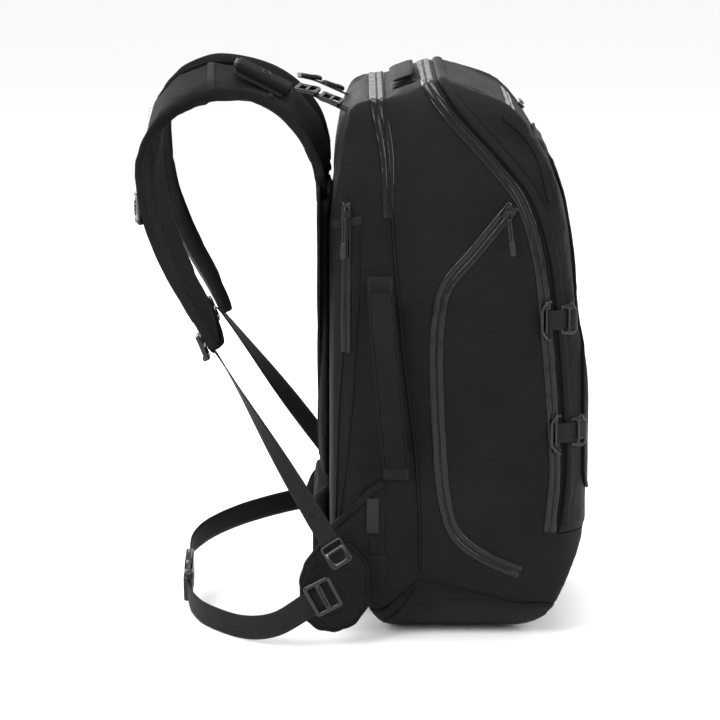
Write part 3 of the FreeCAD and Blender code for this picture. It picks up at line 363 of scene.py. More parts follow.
def spacer_mesh(name, value):
    """Knitted padding cloth with open cells."""
    made, graph, shader, place = start_finish(name, 0.85, Specular_IOR_Level=0.12)
    cells = graph.node("ShaderNodeTexVoronoi", feature="DISTANCE_TO_EDGE")
    graph.join(place, cells.inputs["Vector"])
    cells.inputs["Scale"].default_value = 380.0
    hole = graph.math("LESS_THAN", cells.outputs["Distance"], 0.16)
    rubbed = use_group(graph, RUBBED, place, Scale=9.0, Amount=0.6)
    mask = graph.math("ADD", graph.math("MULTIPLY", hole, 0.8), graph.math("MULTIPLY", rubbed["Mask"], 0.4),
                      clamp=True)
    graph.join(graph.blend(mask, rgba(value * 0.35), rgba(value * 1.5)), shader.inputs["Base Color"])
    bump(graph, shader, hole, 0.5 * MM)
    return made


FINISH = {
    "panel": cloth("panel_cloth", 0.0034, 0.46, slub=0.7, relief=0.26),
    "gusset": cloth("gusset_ripstop", 0.0040, 0.46, grid=0.95, spacing=3.6, upright=0.35, slub=0.8,
                    relief=0.34),
    "strap": cloth("strap_cloth", 0.0036, 0.60, grid=0.45, spacing=4.2, upright=0.8, slub=0.3, relief=0.14),
    "binding": cloth("binding_tape", 0.0030, 0.5, pitch=1.4, slub=0.2, relief=0.2),
    "mesh": spacer_mesh("spacer_mesh", 0.0070),
    "web20": webbing("webbing_20", 0.0040, 20),
    "web25": webbing("webbing_25", 0.0040, 25),
    "tape": moulded("coated_tape", 0.0024, 0.22, gloss=0.24),
    "coil": moulded("zip_coil", 0.0040, 0.30, gloss=0.35),
    "thread": moulded("sewing_thread", 0.0115, 0.5, gloss=0.2),
    "plastic": moulded("moulded_acetal", 0.0038, 0.24, gloss=0.38),
    "metal": moulded("painted_metal", 0.012, 0.30, metallic=0.4),
    "pull": moulded("pull_rubber", 0.0045, 0.5),
    "label": cloth("blank_tag", 0.012, 0.6, pitch=0.6, slub=0.1),
    # gap_shadow is painted shade: a near-black finish for the strip laid inside the main seam behind the zip;
    # the cutters carry it too.
    "dark": moulded("gap_shadow", 0.002, 0.9),
    "sheet": moulded("hdpe_sheet", 0.55, 0.45, tint=(1.0, 1.0, 0.97)),
    "alloy": moulded("anodised_alloy", 0.42, 0.28, metallic=1.0),
    "foam": moulded("closed_cell_foam", 0.03, 0.8),
    "airbag": cloth("airbag_nylon", 0.42, 0.5, pitch=1.2, slub=0.2, tint=(1.0, 0.22, 0.04)),
    "valve": moulded("valve_moulding", 0.08, 0.4),
    "cable": moulded("cable_sheath", 0.012, 0.4),
}
print("finishes", len(FINISH))

# %% [markdown]
# Most pieces are one of four kinds: a mesh typed in directly, a strap swept along
# a path, a round cord swept along a path, or a moulded plate cut from an outline
# with rounded edges.  The helpers below make those kinds, and one more settles
# an object's modifiers into a plain mesh.

# %% Helpers for meshes, straps, cords and plates


def from_points(name, verts, faces, uvs=None, smooth=True):
    mesh = bpy.data.meshes.new(name)
    mesh.from_pydata([tuple(v) for v in verts], [], faces)
    if uvs:
        layer = mesh.uv_layers.new(name="UVMap")
        for loop in mesh.loops:
            layer.data[loop.index].uv = uvs[loop.vertex_index]
    if smooth:
        mesh.polygons.foreach_set("use_smooth", [True] * len(mesh.polygons))
    mesh.update()
    return add_object(name, mesh)


def settle(obj):
    """Turns what the modifiers show into the object's own mesh."""
    graph = bpy.context.evaluated_depsgraph_get()
    mesh = bpy.data.meshes.new_from_object(obj.evaluated_get(graph), preserve_all_data_layers=True,
                                           depsgraph=graph)
    obj.modifiers.clear()
    obj.data = mesh
    return obj


def with_modifier(obj, kind, **settings):
    made = obj.modifiers.new(kind.lower(), kind)
    for key, value in settings.items():
        setattr(made, key, value)
    return made


def shade_smooth(obj, angle=None):
    obj.data.polygons.foreach_set("use_smooth", [True] * len(obj.data.polygons))
    if angle:
        obj.data.set_sharp_from_angle(angle=math.radians(angle))
    return obj


def join(name, objs):
    """One object from several, keeping their UV maps and material slots."""
    mesh = bpy.data.meshes.new(name)
    whole = bmesh.new()
    slots = []
    for obj in objs:
        part = obj.data
        first = len(whole.faces)
        whole.from_mesh(part)
        whole.faces.ensure_lookup_table()
        index = []
        for material in part.materials:
            if material not in slots:
                slots.append(material)
            index.append(slots.index(material))
        for face in whole.faces[first:]:
            face.material_index = index[face.material_index] if index else 0
    whole.to_mesh(mesh)
    whole.free()
    for material in slots:
        mesh.materials.append(material)
    for obj in objs:
        bpy.data.objects.remove(obj)
    return add_object(name, mesh)


def mirror_mesh(obj, name=None):
    """A copy on the wearer's other side, its faces turned to look outwards again."""
    mesh = obj.data.copy()
    mesh.transform(Matrix.Scale(-1, 4, (0, 1, 0)))
    mesh.flip_normals()
    return add_object(name or obj.name + "_far", mesh)


def both(name, make):
    """A piece on the wearer's left and its mirror image, as one object."""
    near = make()
    return join(name, [near, mirror_mesh(near)])


def dress(obj, body, finish, slot, *nodes):
    """The last step of every piece: its finish, its body and what it stands for; slot is not used."""
    if finish:
        obj.data.materials.clear()
        obj.data.materials.append(FINISH[finish])
    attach(obj, body)
    if nodes:
        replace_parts(obj, *nodes)
    return obj


def spline(points, step=0.004):
    """A smooth curve through the points, sampled evenly."""
    points = [Vector(p) for p in points]
    ends = [points[0] * 2 - points[1]] + points + [points[-1] * 2 - points[-2]]
    dense = []
    for a, b, c, e in zip(ends, ends[1:], ends[2:], ends[3:]):
        for i in range(16):
            t = i / 16
            dense.append(0.5 * (2 * b + (c - a) * t + (2 * a - 5 * b + 4 * c - e) * t * t
                                + (3 * b - a - 3 * c + e) * t * t * t))
    dense.append(points[-1])
    return even(dense, step)


def even(points, step):
    """The same line with its points an even step apart."""
    length = sum((b - a).length for a, b in zip(points, points[1:]))
    count = max(2, round(length / step))
    step = length / count
    out, walked, wanted = [points[0].copy()], 0.0, step
    for a, b in zip(points, points[1:]):
        run = (b - a).length
        while run > 0 and wanted <= walked + run + 1e-9 and len(out) < count:
            out.append(a.lerp(b, (wanted - walked) / run))
            wanted += step
        walked += run
    out.append(points[-1].copy())
    return out


def tangents(points):
    last = len(points) - 1
    return [(points[min(i + 1, last)] - points[max(i - 1, 0)]).normalized() for i in range(len(points))]


def strip(name, points, outs, width, thick, crown=0.0, rise=0.0, sides=6):
    """A strap: a flat section with rounded edges, swept along a path.

    outs are the directions its upper face looks; crown lifts the middle of that
    face, and rise lifts the whole strap off the path."""
    count = len(points)
    widths = width if hasattr(width, "__len__") else [width] * count
    thicks = thick if hasattr(thick, "__len__") else [thick] * count
    verts, uvs, faces = [], [], []
    ring = 2 * (sides + 1)
    walked = 0.0
    for i, (here, along) in enumerate(zip(points, tangents(points))):
        if i:
            walked += (here - points[i - 1]).length
        out = (outs[i] - along * outs[i].dot(along)).normalized()
        across = along.cross(out)
        for upper in (True, False):
            for k in range(sides + 1):
                share = k / sides if upper else 1 - k / sides
                side = 2 * share - 1
                round_off = max(0.0, 1 - abs(side) ** 8) ** 0.5
                height = thicks[i] / 2 * (0.25 + 0.75 * round_off)
                if upper:
                    height += crown * (1 - side * side)
                else:
                    height = -height
                verts.append(here + across * side * widths[i] / 2 + out * (height + thicks[i] / 2 + rise))
                uvs.append((share * widths[i], walked))
    for i in range(count - 1):
        for k in range(ring):
            a, b = i * ring + k, i * ring + (k + 1) % ring
            faces.append((a, a + ring, b + ring, b))
    faces.append(tuple(range(ring)))
    faces.append(tuple((count - 1) * ring + k for k in reversed(range(ring))))
    return from_points(name, verts, faces, uvs)


def cord(name, points, radius, sides=8, closed=False, flat=1.0, outs=None):
    """A round cord along a path; flat under 1 squashes it towards the path's out directions."""
    verts, uvs, faces = [], [], []
    count = len(points)
    guide = outs[0] if outs else (UP if abs(tangents(points)[0].z) < 0.9 else Vector((1, 0, 0)))
    walked = 0.0
    for i, (here, along) in enumerate(zip(points, tangents(points))):
        if closed:
            along = (points[(i + 1) % count] - points[i - 1]).normalized()
        if i:
            walked += (here - points[i - 1]).length
        out = outs[i] if outs else guide
        out = (out - along * out.dot(along)).normalized()
        guide = out
        across = along.cross(out)
        for k in range(sides):
            angle = 2 * math.pi * k / sides
            verts.append(here + (across * math.cos(angle) + out * math.sin(angle) * flat) * radius)
            uvs.append((k / sides * radius * 6, walked))
    rings = count if closed else count - 1
    for i in range(rings):
        for k in range(sides):
            a, b = i * sides + k, i * sides + (k + 1) % sides
            c, e = (a + sides) % (count * sides), (b + sides) % (count * sides)
            faces.append((a, b, e, c))
    if not closed:
        faces.append(tuple(reversed(range(sides))))
        faces.append(tuple((count - 1) * sides + k for k in range(sides)))
    return from_points(name, verts, faces, uvs)


def rounded_outline(corners, radius, steps=4):
    """A closed 2D outline with every corner rounded."""
    out = []
    count = len(corners)
    corners = [Vector(c) for c in corners]
    for i, here in enumerate(corners):
        back, ahead = corners[i - 1] - here, corners[(i + 1) % count] - here
        reach = min(radius, back.length * 0.45, ahead.length * 0.45)
        a, b = here + back.normalized() * reach, here + ahead.normalized() * reach
        for k in range(steps + 1):
            t = k / steps
            out.append(a * (1 - t) ** 2 + here * 2 * t * (1 - t) + b * t * t)
    return out


def box_outline(length, width, radius, centre=(0, 0)):
    x, y = length / 2, width / 2
    cx, cy = centre
    corners = [(cx - x, cy - y), (cx + x, cy - y), (cx + x, cy + y), (cx - x, cy + y)]
    return rounded_outline(corners, radius)


def facing(place, along, out):
    """The matrix that puts X along the piece and Z outwards."""
    along = Vector(along).normalized()
    out = Vector(out)
    out = (out - along * out.dot(along)).normalized()
    return Matrix.Translation(Vector(place)) @ Matrix((along, out.cross(along), out)).transposed().to_4x4()


def plate(name, outlines, thick, edge, matrix, bend=None):
    """A moulded plate: an outline with holes, given a thickness and rounded edges."""
    curve = bpy.data.curves.new(name, "CURVE")
    curve.dimensions = "2D"
    curve.fill_mode = "BOTH"
    curve.extrude = thick / 2 - edge
    curve.bevel_depth = edge
    curve.bevel_resolution = 2
    curve.offset = -edge
    for outline in outlines:
        piece = curve.splines.new("POLY")
        piece.points.add(len(outline) - 1)
        for point, place in zip(piece.points, outline):
            point.co = (place[0], place[1], 0, 1)
        piece.use_cyclic_u = True
    holder = add_object(name, curve)
    graph = bpy.context.evaluated_depsgraph_get()
    mesh = bpy.data.meshes.new_from_object(holder.evaluated_get(graph))
    bpy.data.objects.remove(holder)
    work = bmesh.new()
    work.from_mesh(mesh)
    bmesh.ops.remove_doubles(work, verts=work.verts, dist=1e-6)
    bmesh.ops.recalc_face_normals(work, faces=work.faces)
    work.to_mesh(mesh)
    work.free()
    if bend:
        for vert in mesh.vertices:
            vert.co = bend(vert.co)
    mesh.transform(matrix)
    return shade_smooth(add_object(name, mesh), 40)


def pillow_box(name, size, edge, matrix, centre=(0, 0, 0)):
    """A block with well rounded edges."""
    work = bmesh.new()
    bmesh.ops.create_cube(work, size=1.0, matrix=Matrix.Translation(centre) @ Matrix.Diagonal((*size, 1)))
    bmesh.ops.bevel(work, geom=work.edges[:], offset=edge, segments=3, profile=0.5, affect="EDGES")
    mesh = bpy.data.meshes.new(name)
    work.to_mesh(mesh)
    work.free()
    mesh.transform(matrix)
    return shade_smooth(add_object(name, mesh), 40)


# %% [markdown]
# Stitches and zip teeth are the same idea: a small bead repeated along a line,
# turned to follow it.  The script walks the line and leaves points that carry two
# directions, along and out.  The node tree puts a stretched bead on each point,
# and its three sizes are named inputs, so one tree serves threads and coils.

# %% The bead row tree


def bead_tree():
    tree = bpy.data.node_groups.new("bead_row", "GeometryNodeTree")
    tree.interface.new_socket("Geometry", in_out="INPUT", socket_type="NodeSocketGeometry")
    for label in ("Length", "Width", "Height"):
        tree.interface.new_socket(label, in_out="INPUT", socket_type="NodeSocketFloat")
    tree.interface.new_socket("Material", in_out="INPUT", socket_type="NodeSocketMaterial")
    tree.interface.new_socket("Geometry", in_out="OUTPUT", socket_type="NodeSocketGeometry")
    graph = Graph(tree)
    given = graph.node("NodeGroupInput").outputs
    points = graph.node("GeometryNodeMeshToPoints")
    graph.join(given["Geometry"], points.inputs["Mesh"])
    turn = None
    for axis, label in (("X", "along"), ("Z", "out")):
        named = graph.node("GeometryNodeInputNamedAttribute", data_type="FLOAT_VECTOR")
        named.inputs["Name"].default_value = label
        align = graph.node("FunctionNodeAlignRotationToVector", axis=axis,
                           pivot_axis="AUTO" if axis == "X" else "X")
        if turn:
            graph.join(turn, align.inputs["Rotation"])
        graph.join(named.outputs["Attribute"], align.inputs["Vector"])
        turn = align.outputs["Rotation"]
    bead = graph.node("GeometryNodeMeshUVSphere")
    bead.inputs["Segments"].default_value = 6
    bead.inputs["Rings"].default_value = 4
    bead.inputs["Radius"].default_value = 0.5
    scale = graph.node("ShaderNodeCombineXYZ")
    for axis, label in zip("XYZ", ("Length", "Width", "Height")):
        graph.join(given[label], scale.inputs[axis])
    place = graph.node("GeometryNodeInstanceOnPoints")
    graph.join(points.outputs["Points"], place.inputs["Points"])
    graph.join(bead.outputs["Mesh"], place.inputs["Instance"])
    graph.join(turn, place.inputs["Rotation"])
    graph.join(scale.outputs["Vector"], place.inputs["Scale"])
    real = graph.node("GeometryNodeRealizeInstances")
    graph.join(place.outputs["Instances"], real.inputs["Geometry"])
    paint = graph.node("GeometryNodeSetMaterial")
    graph.join(real.outputs["Geometry"], paint.inputs["Geometry"])
    graph.join(given["Material"], paint.inputs["Material"])
    graph.join(paint.outputs["Geometry"], graph.node("NodeGroupOutput").inputs["Geometry"])
    return tree


BEADS = bead_tree()


def bead_row(name, rows, size, spacing, finish):
    """Beads of one size along several lines; rows holds (points, outs) pairs."""
    verts, alongs, faces_out = [], [], []
    for points, outs in rows:
        walk = even(points, spacing)
        track = BVHTree.FromPolygons([tuple(p) for p in points] + [tuple(p + Vector((1e-5, 0,
                                                                                     1e-5))) for p in points],
                                     [(i, i + 1, i + 1 + len(points)) for i in range(len(points) - 1)])
        for place, along in zip(walk, tangents(walk)):
            near = track.find_nearest(place)[2] or 0
            verts.append(place)
            alongs.append(along)
            faces_out.append(outs[near])
    mesh = bpy.data.meshes.new(name)
    mesh.from_pydata([tuple(v) for v in verts], [], [])
    for label, values in (("along", alongs), ("out", faces_out)):
        layer = mesh.attributes.new(label, "FLOAT_VECTOR", "POINT")
        layer.data.foreach_set("vector", [c for v in values for c in v])
    obj = add_object(name, mesh)
    made = obj.modifiers.new("beads", "NODES")
    made.node_group = BEADS
    values = dict(zip(("Length", "Width", "Height"), size), Material=FINISH[finish])
    for item in BEADS.interface.items_tree:
        if item.in_out == "INPUT" and item.name in values:
            made[item.identifier] = values[item.name]
    settle(obj)
    return shade_smooth(obj)


print("bead tree has", len(BEADS.nodes), "nodes")

# %% [markdown]
# The bag itself. So the whole bag is made as one closed skin, the points near a
# seam or a zip are held, and a cloth simulation with a little air pressure swells
# the rest. Then the skin is cut into panels.

# %% The bag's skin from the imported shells
SHELLS = ("back_compartment", "main_compartment", "bottom_panel", "front_panel")
SKIN_VOXEL = 0.0045


def cad_mesh(names):
    """A joined copy of CAD nodes with their doubled points merged."""
    work = bmesh.new()
    for name in names:
        work.from_mesh(frame["nodes"][name].data)
    bmesh.ops.remove_doubles(work, verts=work.verts, dist=1e-6)
    return work


shells = cad_mesh(SHELLS)
shell_tree = BVHTree.FromBMesh(shells)
hull = bmesh.ops.convex_hull(shells, input=shells.verts)
keep = {v for item in hull["geom"] if isinstance(item, bmesh.types.BMFace) for v in item.verts}
index = {v: i for i, v in enumerate(keep)}
bag = from_points("bag_skin", [v.co.copy() for v in keep],
                  [tuple(index[v] for v in f.verts) for f in hull["geom"] if isinstance(f,
                                                                                        bmesh.types.BMFace)])
shells.free()
with_modifier(bag, "REMESH", mode="VOXEL", voxel_size=SKIN_VOXEL)
settle(bag)
for vert in bag.data.vertices:
    found = shell_tree.find_nearest(vert.co)
    vert.co = found[0]
with_modifier(bag, "SMOOTH", factor=0.5, iterations=3)
settle(bag)
print("bag skin", len(bag.data.polygons), "faces")

# %% [markdown]
# The pattern's seams are drawn once, as a pattern maker draws them, in the side
# view.  Every later step that needs a seam, a zip or a panel edge takes it from
# these rows.

# %% Seam lines of the pattern, in the side view
# Each row is (forward, up) in millimetres from the middle of the base.
SEAM = [(110, 117), (115, 178), (111, 250), (106, 311), (97, 392), (78, 453), (49, 492), (-5, 552),
        (-30, 600)]
GUSSET = [(-29, 66), (-32, 170), (-47, 304), (-57, 419), (-66, 541), (-69, 600)]
SIDE_ZIP = [(62, 449), (24, 402), (-4, 368), (-12, 335), (-14, 290), (-10, 200), (-4, 145), (8, 112),
            (34, 91), (72, 74)]
TOP_ZIP = [(-62, 436), (-63, 492), (-70, 535), (-82, 600)]
BASE_EDGE = [(-160, 30), (-66, 30), (-29, 66), (70, 38), (170, 38)]
HINGE_LEVEL = 0.112
PIN_REACH = 0.009
SWELL_CAP = 0.005
PANEL_THICK = 0.0024


def side_view(rows, step=0.003, curved=True):
    points = [Vector((x * MM, 0, z * MM)) for x, z in rows]
    return spline(points, step) if curved else even(points, step)


seam_view = side_view(SEAM)
gusset_view = side_view(GUSSET)
side_zip_view = side_view(SIDE_ZIP)
top_zip_view = side_view(TOP_ZIP)
base_view = side_view(BASE_EDGE, curved=False)
hinge_view = even([Vector((0.109, 0, HINGE_LEVEL)), Vector((0.150, 0, HINGE_LEVEL))], 0.003)


def line_distance(lines):
    """A function that gives how far a point is, in the side view, from any of the lines."""
    points = [p for line in lines for p in line]
    tree = KDTree(len(points))
    for i, point in enumerate(points):
        tree.insert(point, i)
    tree.balance()
    return lambda co: tree.find((co.x, 0, co.z))[2]


def ramp(value, low, high):
    share = min(1.0, max(0.0, (value - low) / (high - low)))
    return share * share * (3 - 2 * share)


def inflate(obj, pressure, cap, held=(), frames=20, stiffness=15.0):
    """Blows the object up by a cloth simulation; no point moves further than cap."""
    group = obj.vertex_groups.new(name="held")
    if held:
        group.add(list(held), 1.0, "REPLACE")
    start = [v.co.copy() for v in obj.data.vertices]
    made = obj.modifiers.new("cloth", "CLOTH")
    made.settings.quality = 5
    made.settings.mass = 0.2
    made.settings.tension_stiffness = stiffness
    made.settings.compression_stiffness = stiffness
    made.settings.bending_stiffness = 0.4
    made.settings.use_pressure = True
    made.settings.uniform_pressure_force = pressure
    made.settings.effector_weights.gravity = 0
    made.settings.vertex_group_mass = "held"
    made.collision_settings.use_collision = False
    made.point_cache.frame_start = 1
    made.point_cache.frame_end = frames
    for number in range(1, frames + 1):
        bpy.context.scene.frame_set(number)
    graph = bpy.context.evaluated_depsgraph_get()
    blown = [v.co.copy() for v in obj.evaluated_get(graph).data.vertices]
    obj.modifiers.remove(made)
    bpy.context.scene.frame_set(1)
    largest = 0.0
    for vert, first, last in zip(obj.data.vertices, start, blown):
        move = last - first
        if move.length > cap:
            move = move.normalized() * cap
        largest = max(largest, move.length)
        vert.co = first + move
    obj.data.update()
    print(f"{obj.name}: swelled by up to {largest / MM:.1f} mm")
    return obj


print("pattern lines", len(SEAM), "seam points,", len(SIDE_ZIP), "side zip points")

# %% [markdown]
# A little noise then adds the broad folds of half-full cloth, finer puckers
# beside the seams, and a shallow groove along each of them.

# %% Swell the skin between its seams
seam_distance = line_distance([seam_view, gusset_view, base_view, top_zip_view, hinge_view])
zip_distance = line_distance([side_zip_view])
FIXED_BACK = -0.115
FLAT_BASE = 0.007
hardware = [(0.100, 0.333), (0.110, 0.217), (-0.070, 0.364), (-0.054, 0.184), (0.125, 0.333), (0.130, 0.217)]


def hardware_distance(co):
    if abs(co.y) < 0.12:
        return 1.0
    return min(math.hypot(co.x - x, co.z - z) for x, z in hardware) - 0.012


def reach_to_seams(co):
    near = min(seam_distance(co), hardware_distance(co))
    return min(near, zip_distance(co)) if co.y < -0.1 else near


reach = [reach_to_seams(v.co) for v in bag.data.vertices]
held = [v.index for v, r in zip(bag.data.vertices, reach)
        if r < PIN_REACH or v.co.z < FLAT_BASE or v.co.x < FIXED_BACK]
inflate(bag, 4.0, SWELL_CAP, held)
with_modifier(bag, "SMOOTH", factor=0.5, iterations=2)
settle(bag)
moved = []
for vert, near in zip(bag.data.vertices, reach):
    co, normal = vert.co, vert.normal
    broad = noise.noise(Vector((co.x * 13 + 4, co.y * 9, co.z * 8))) * 2.8
    small = noise.noise(Vector((co.x * 34, co.y * 20 + 7, co.z * 22))) * 1.0
    pucker = noise.noise(Vector((co.x * 90, co.y * 90, co.z * 90))) * 0.8
    open_cloth = ramp(near, 0.006, 0.045) * ramp(co.z, 0.004, 0.05) * ramp(co.x, -0.118, -0.095)
    beside = ramp(near, 0.001, 0.006) * (1 - ramp(near, 0.010, 0.028))
    groove = -0.9 * (1 - ramp(near, 0.0005, 0.005)) if co.z > FLAT_BASE else 0.0
    lift = (broad + small) * open_cloth + pucker * beside * ramp(co.z, 0.004, 0.03) + groove
    moved.append(co + normal * lift * MM)
for vert, place in zip(bag.data.vertices, moved):
    vert.co = place
    vert.co.z = max(vert.co.z, 0.0002)
bag.data.update()
skin_tree = BVHTree.FromPolygons([v.co.copy() for v in bag.data.vertices],
                                 [tuple(p.vertices) for p in bag.data.polygons])
print("held", len(held), "of", len(bag.data.vertices), "points")

# %% [markdown]
# A panel is the part of the skin inside one outline of the side view.  A boolean
# with that outline, carried through the bag, cuts the edge exactly on the seam.
# The cutter's own faces carry a second material index, so they can be found and
# deleted, and Solidify then gives the cloth its thickness towards the inside.

# %% Cut the skin into panels
WIDE = 0.35


def prism(name, outline):
    """A side-view outline carried through the bag, its faces marked with index 1."""
    count = len(outline)
    verts = [Vector((p.x, y, p.z)) for y in (-WIDE, WIDE) for p in outline]
    faces = [tuple(range(count)), tuple(reversed(range(count, 2 * count)))]
    faces += [(i, i + count, (i + 1) % count + count, (i + 1) % count) for i in range(count)]
    obj = from_points(name, verts, faces, smooth=False)
    work = bmesh.new()
    work.from_mesh(obj.data)
    bmesh.ops.recalc_face_normals(work, faces=work.faces)
    work.to_mesh(obj.data)
    work.free()
    for _ in range(2):
        obj.data.materials.append(FINISH["dark"])
    obj.data.polygons.foreach_set("material_index", [1] * len(obj.data.polygons))
    return obj


def cut(source, cutter, operation, name):
    obj = add_object(name, source.data.copy())
    with_modifier(obj, "BOOLEAN", operation=operation, solver="EXACT", object=cutter, material_mode="INDEX")
    return settle(obj)


def cloth_panel(solid, finish, body, *nodes):
    """Keeps the skin of a cut solid and gives it a thickness."""
    work = bmesh.new()
    work.from_mesh(solid.data)
    bmesh.ops.delete(work, geom=[f for f in work.faces if f.material_index == 1], context="FACES")
    bmesh.ops.remove_doubles(work, verts=work.verts, dist=0.00015)
    loose = [v for v in work.verts if not v.link_faces]
    bmesh.ops.delete(work, geom=loose, context="VERTS")
    for face in work.faces:
        face.material_index = 0
    work.to_mesh(solid.data)
    work.free()
    with_modifier(solid, "SOLIDIFY", thickness=PANEL_THICK, offset=-1.0)
    settle(solid)
    shade_smooth(solid, 50)
    return dress(solid, body, finish, "panel_fabric" if finish == "panel" else "ripstop_fabric", *nodes)


bag.data.materials.append(FINISH["panel"])
bag.data.materials.append(FINISH["panel"])
FAR_X, BELOW = 0.4, -0.05


def ahead_of_seam(shift):
    edge = [p + Vector((shift, 0, 0)) for p in seam_view]
    foot = HINGE_LEVEL + shift
    return [Vector((FAR_X, 0, foot)), Vector((edge[0].x, 0, foot))] + edge + [Vector((FAR_X, 0, edge[-1].z))]


cutters = {
    "front": prism("front_cutter", ahead_of_seam(0.0012)),
    "fixed": prism("fixed_cutter", ahead_of_seam(0.0)),
    "under": prism("under_cutter", [Vector((x * MM, 0, z * MM)) for x, z in BASE_EDGE]
                   + [Vector((0.17, 0, BELOW)), Vector((-0.16, 0, BELOW))]),
    "back": prism("back_cutter", [Vector((-FAR_X, 0, BELOW)), Vector((gusset_view[0].x, 0, BELOW))]
                  + gusset_view + [Vector((-FAR_X, 0, gusset_view[-1].z))]),
}
front_panel = cut(bag, cutters["front"], "INTERSECT", "front_panel_cloth")
fixed_skin = cut(bag, cutters["fixed"], "DIFFERENCE", "fixed_skin")
base_panel = cut(fixed_skin, cutters["under"], "INTERSECT", "bottom_panel_cloth")
upper_skin = cut(fixed_skin, cutters["under"], "DIFFERENCE", "upper_skin")
back_panel = cut(upper_skin, cutters["back"], "INTERSECT", "back_compartment_cloth")
main_panel = cut(upper_skin, cutters["back"], "DIFFERENCE", "main_compartment_cloth")
for spare in [fixed_skin, upper_skin, *cutters.values()]:
    bpy.data.objects.remove(spare)
cloth_panel(front_panel, "panel", "front", "front_panel")
cloth_panel(base_panel, "panel", "pack", "bottom_panel")
cloth_panel(back_panel, "gusset", "pack", "back_compartment")
cloth_panel(main_panel, "panel", "pack", "main_compartment")
for panel in (front_panel, base_panel, back_panel, main_panel):
    print(panel.name, len(panel.data.polygons), "faces")

# %% [markdown]
# Tapes, straps and threads have to lie on the swollen cloth, not on the flat
# pattern.  A line drawn in the side view is shot at the bag from the side; a line
# that climbs over the top is followed round in the front view instead.  Every
# point is then put on the nearest cloth, which also gives the outward direction.

# %% Laying lines on the cloth


def lay(points):
    """The points put on the cloth, with the directions that the cloth faces there."""
    found = [skin_tree.find_nearest(p) for p in points]
    return [f[0].copy() for f in found], [f[1].copy() for f in found]


def on_side(view, side=NEAR, step=0.003):
    """A side-view line on the near or the far side of the bag."""
    points = []
    for p in view:
        hit = skin_tree.ray_cast(Vector((p.x, side * WIDE, p.z)), Vector((0, -side, 0)))[0]
        if hit:
            points.append(hit)
    return lay(even(points, step))


def over_top(view, step=0.003):
    """A side-view line that climbs one side, crosses the top and goes down the other."""
    levels = sorted((p.z, p.x) for p in view)

    def forward(z):
        for (z0, x0), (z1, x1) in zip(levels, levels[1:]):
            if z <= z1:
                return x0 + (x1 - x0) * max(0.0, (z - z0) / (z1 - z0))
        return levels[-1][1]

    start = view[0].z
    centre = 0.44
    points = [skin_tree.ray_cast(Vector((p.x, -WIDE, p.z)),
                                 Vector((0, 1, 0)))[0] for p in view if p.z < centre]
    for i in range(121):
        angle = math.pi * i / 120
        away = Vector((0, -math.cos(angle), math.sin(angle)))
        x = forward(0.55)
        for _ in range(4):
            hit = skin_tree.ray_cast(Vector((x, 0, centre)) + away * 0.4, -away)[0]
            if hit is None:
                break
            x = forward(hit.z)
        if hit:
            points.append(hit)
    points += [Vector((p.x, -p.y, p.z)) for p in reversed(points[:sum(p.z < centre for p in view)])]
    return lay(even(points, step))


def shifted(points, outs, sideways, lift=0.0):
    """A line beside another on the same cloth."""
    moved = [p + a.cross(o).normalized() * sideways for p, a, o in zip(points, tangents(points), outs)]
    places, faces = lay(moved)
    return [p + o * lift for p, o in zip(places, faces)], faces


print("lines can be laid on", len(bag.data.polygons), "cloth faces")

# %% [markdown]
# A coated zip has two tape edges with a film over them, a thin slit between, and
# the coil that shows through the slit.  Two rows of thread hold each tape down.
# One function makes all five zips; only the line and the width differ.

# %% Zips
ZIP_SLIT = 0.9
TOOTH = (1.0, 3.0, 1.1)
STITCH = (2.3, 0.55, 0.42)
STITCH_STEP = 3.3


def mm(values):
    return [v * MM for v in values]


def zip_on(label, line, width, body, node):
    points, outs = line
    widths = width if hasattr(width, "__len__") else [width] * len(points)
    halves = []
    for side in (-1, 1):
        moved = [p + a.cross(o).normalized() * side * (w + ZIP_SLIT) * MM / 4
                 for p, a, o, w in zip(points, tangents(points), outs, widths)]
        places, faces = lay(moved)
        halves.append(strip("half", places, faces, [(w - ZIP_SLIT) * MM / 2 for w in widths], 0.7 * MM,
                            crown=0.35 * MM, rise=0.25 * MM, sides=4))
    dress(join(f"{label}_tape", halves), body, "tape", "zip_tape", node)
    raised = [p + o * 0.8 * MM for p, o in zip(points, outs)]
    coil = bead_row(f"{label}_coil", [(raised, outs)], mm(TOOTH), 1.5 * MM, "coil")
    dress(coil, body, None, "zip_tape")
    rows = [shifted(points, outs, side * (min(widths) / 2 - 1.4) * MM, 1.1 * MM) for side in (-1, 1)]
    threads = bead_row(f"{label}_stitches", rows, mm(STITCH), STITCH_STEP * MM, "thread")
    dress(threads, body, None, "zip_tape")
    return points, outs


top_line = over_top(top_zip_view)
count = len(top_line[0])
leaf = [10 + 6 * min(1.0, 6.0 * min(i, count - 1 - i) / count) for i in range(count)]
zip_on("top_zip", top_line, leaf, "pack", "top_zip_tape")
seam_behind = [p - Vector((0.0085, 0, 0.002)) for p in seam_view]
zip_on("main_zip", over_top(seam_behind), 13, "pack", "main_zip_tape")
zip_on("side_zip", on_side(side_zip_view), 14, "pack", "side_zip_tape")
harness_low, harness_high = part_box("harness_zip_tape")
harness_x = (harness_low.x + harness_high.x) / 2
harness_view = even([Vector((harness_x, 0, harness_low.z)), Vector((harness_x, 0, harness_high.z))], 0.003)
zip_on("harness_zip", on_side(harness_view), 11, "pack", "harness_zip_tape")
pocket_low, pocket_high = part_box("front_pocket_zip_tape")
pocket_level = (pocket_low.z + pocket_high.z) / 2
across_front = [Vector((0.3, y * MM, pocket_level)) for y in range(-95, 96, 4)]
front_hits = [skin_tree.ray_cast(p, Vector((-1, 0, 0)))[0] for p in across_front]
zip_on("front_pocket_zip", lay(front_hits), 14, "front", "front_pocket_zip_tape")
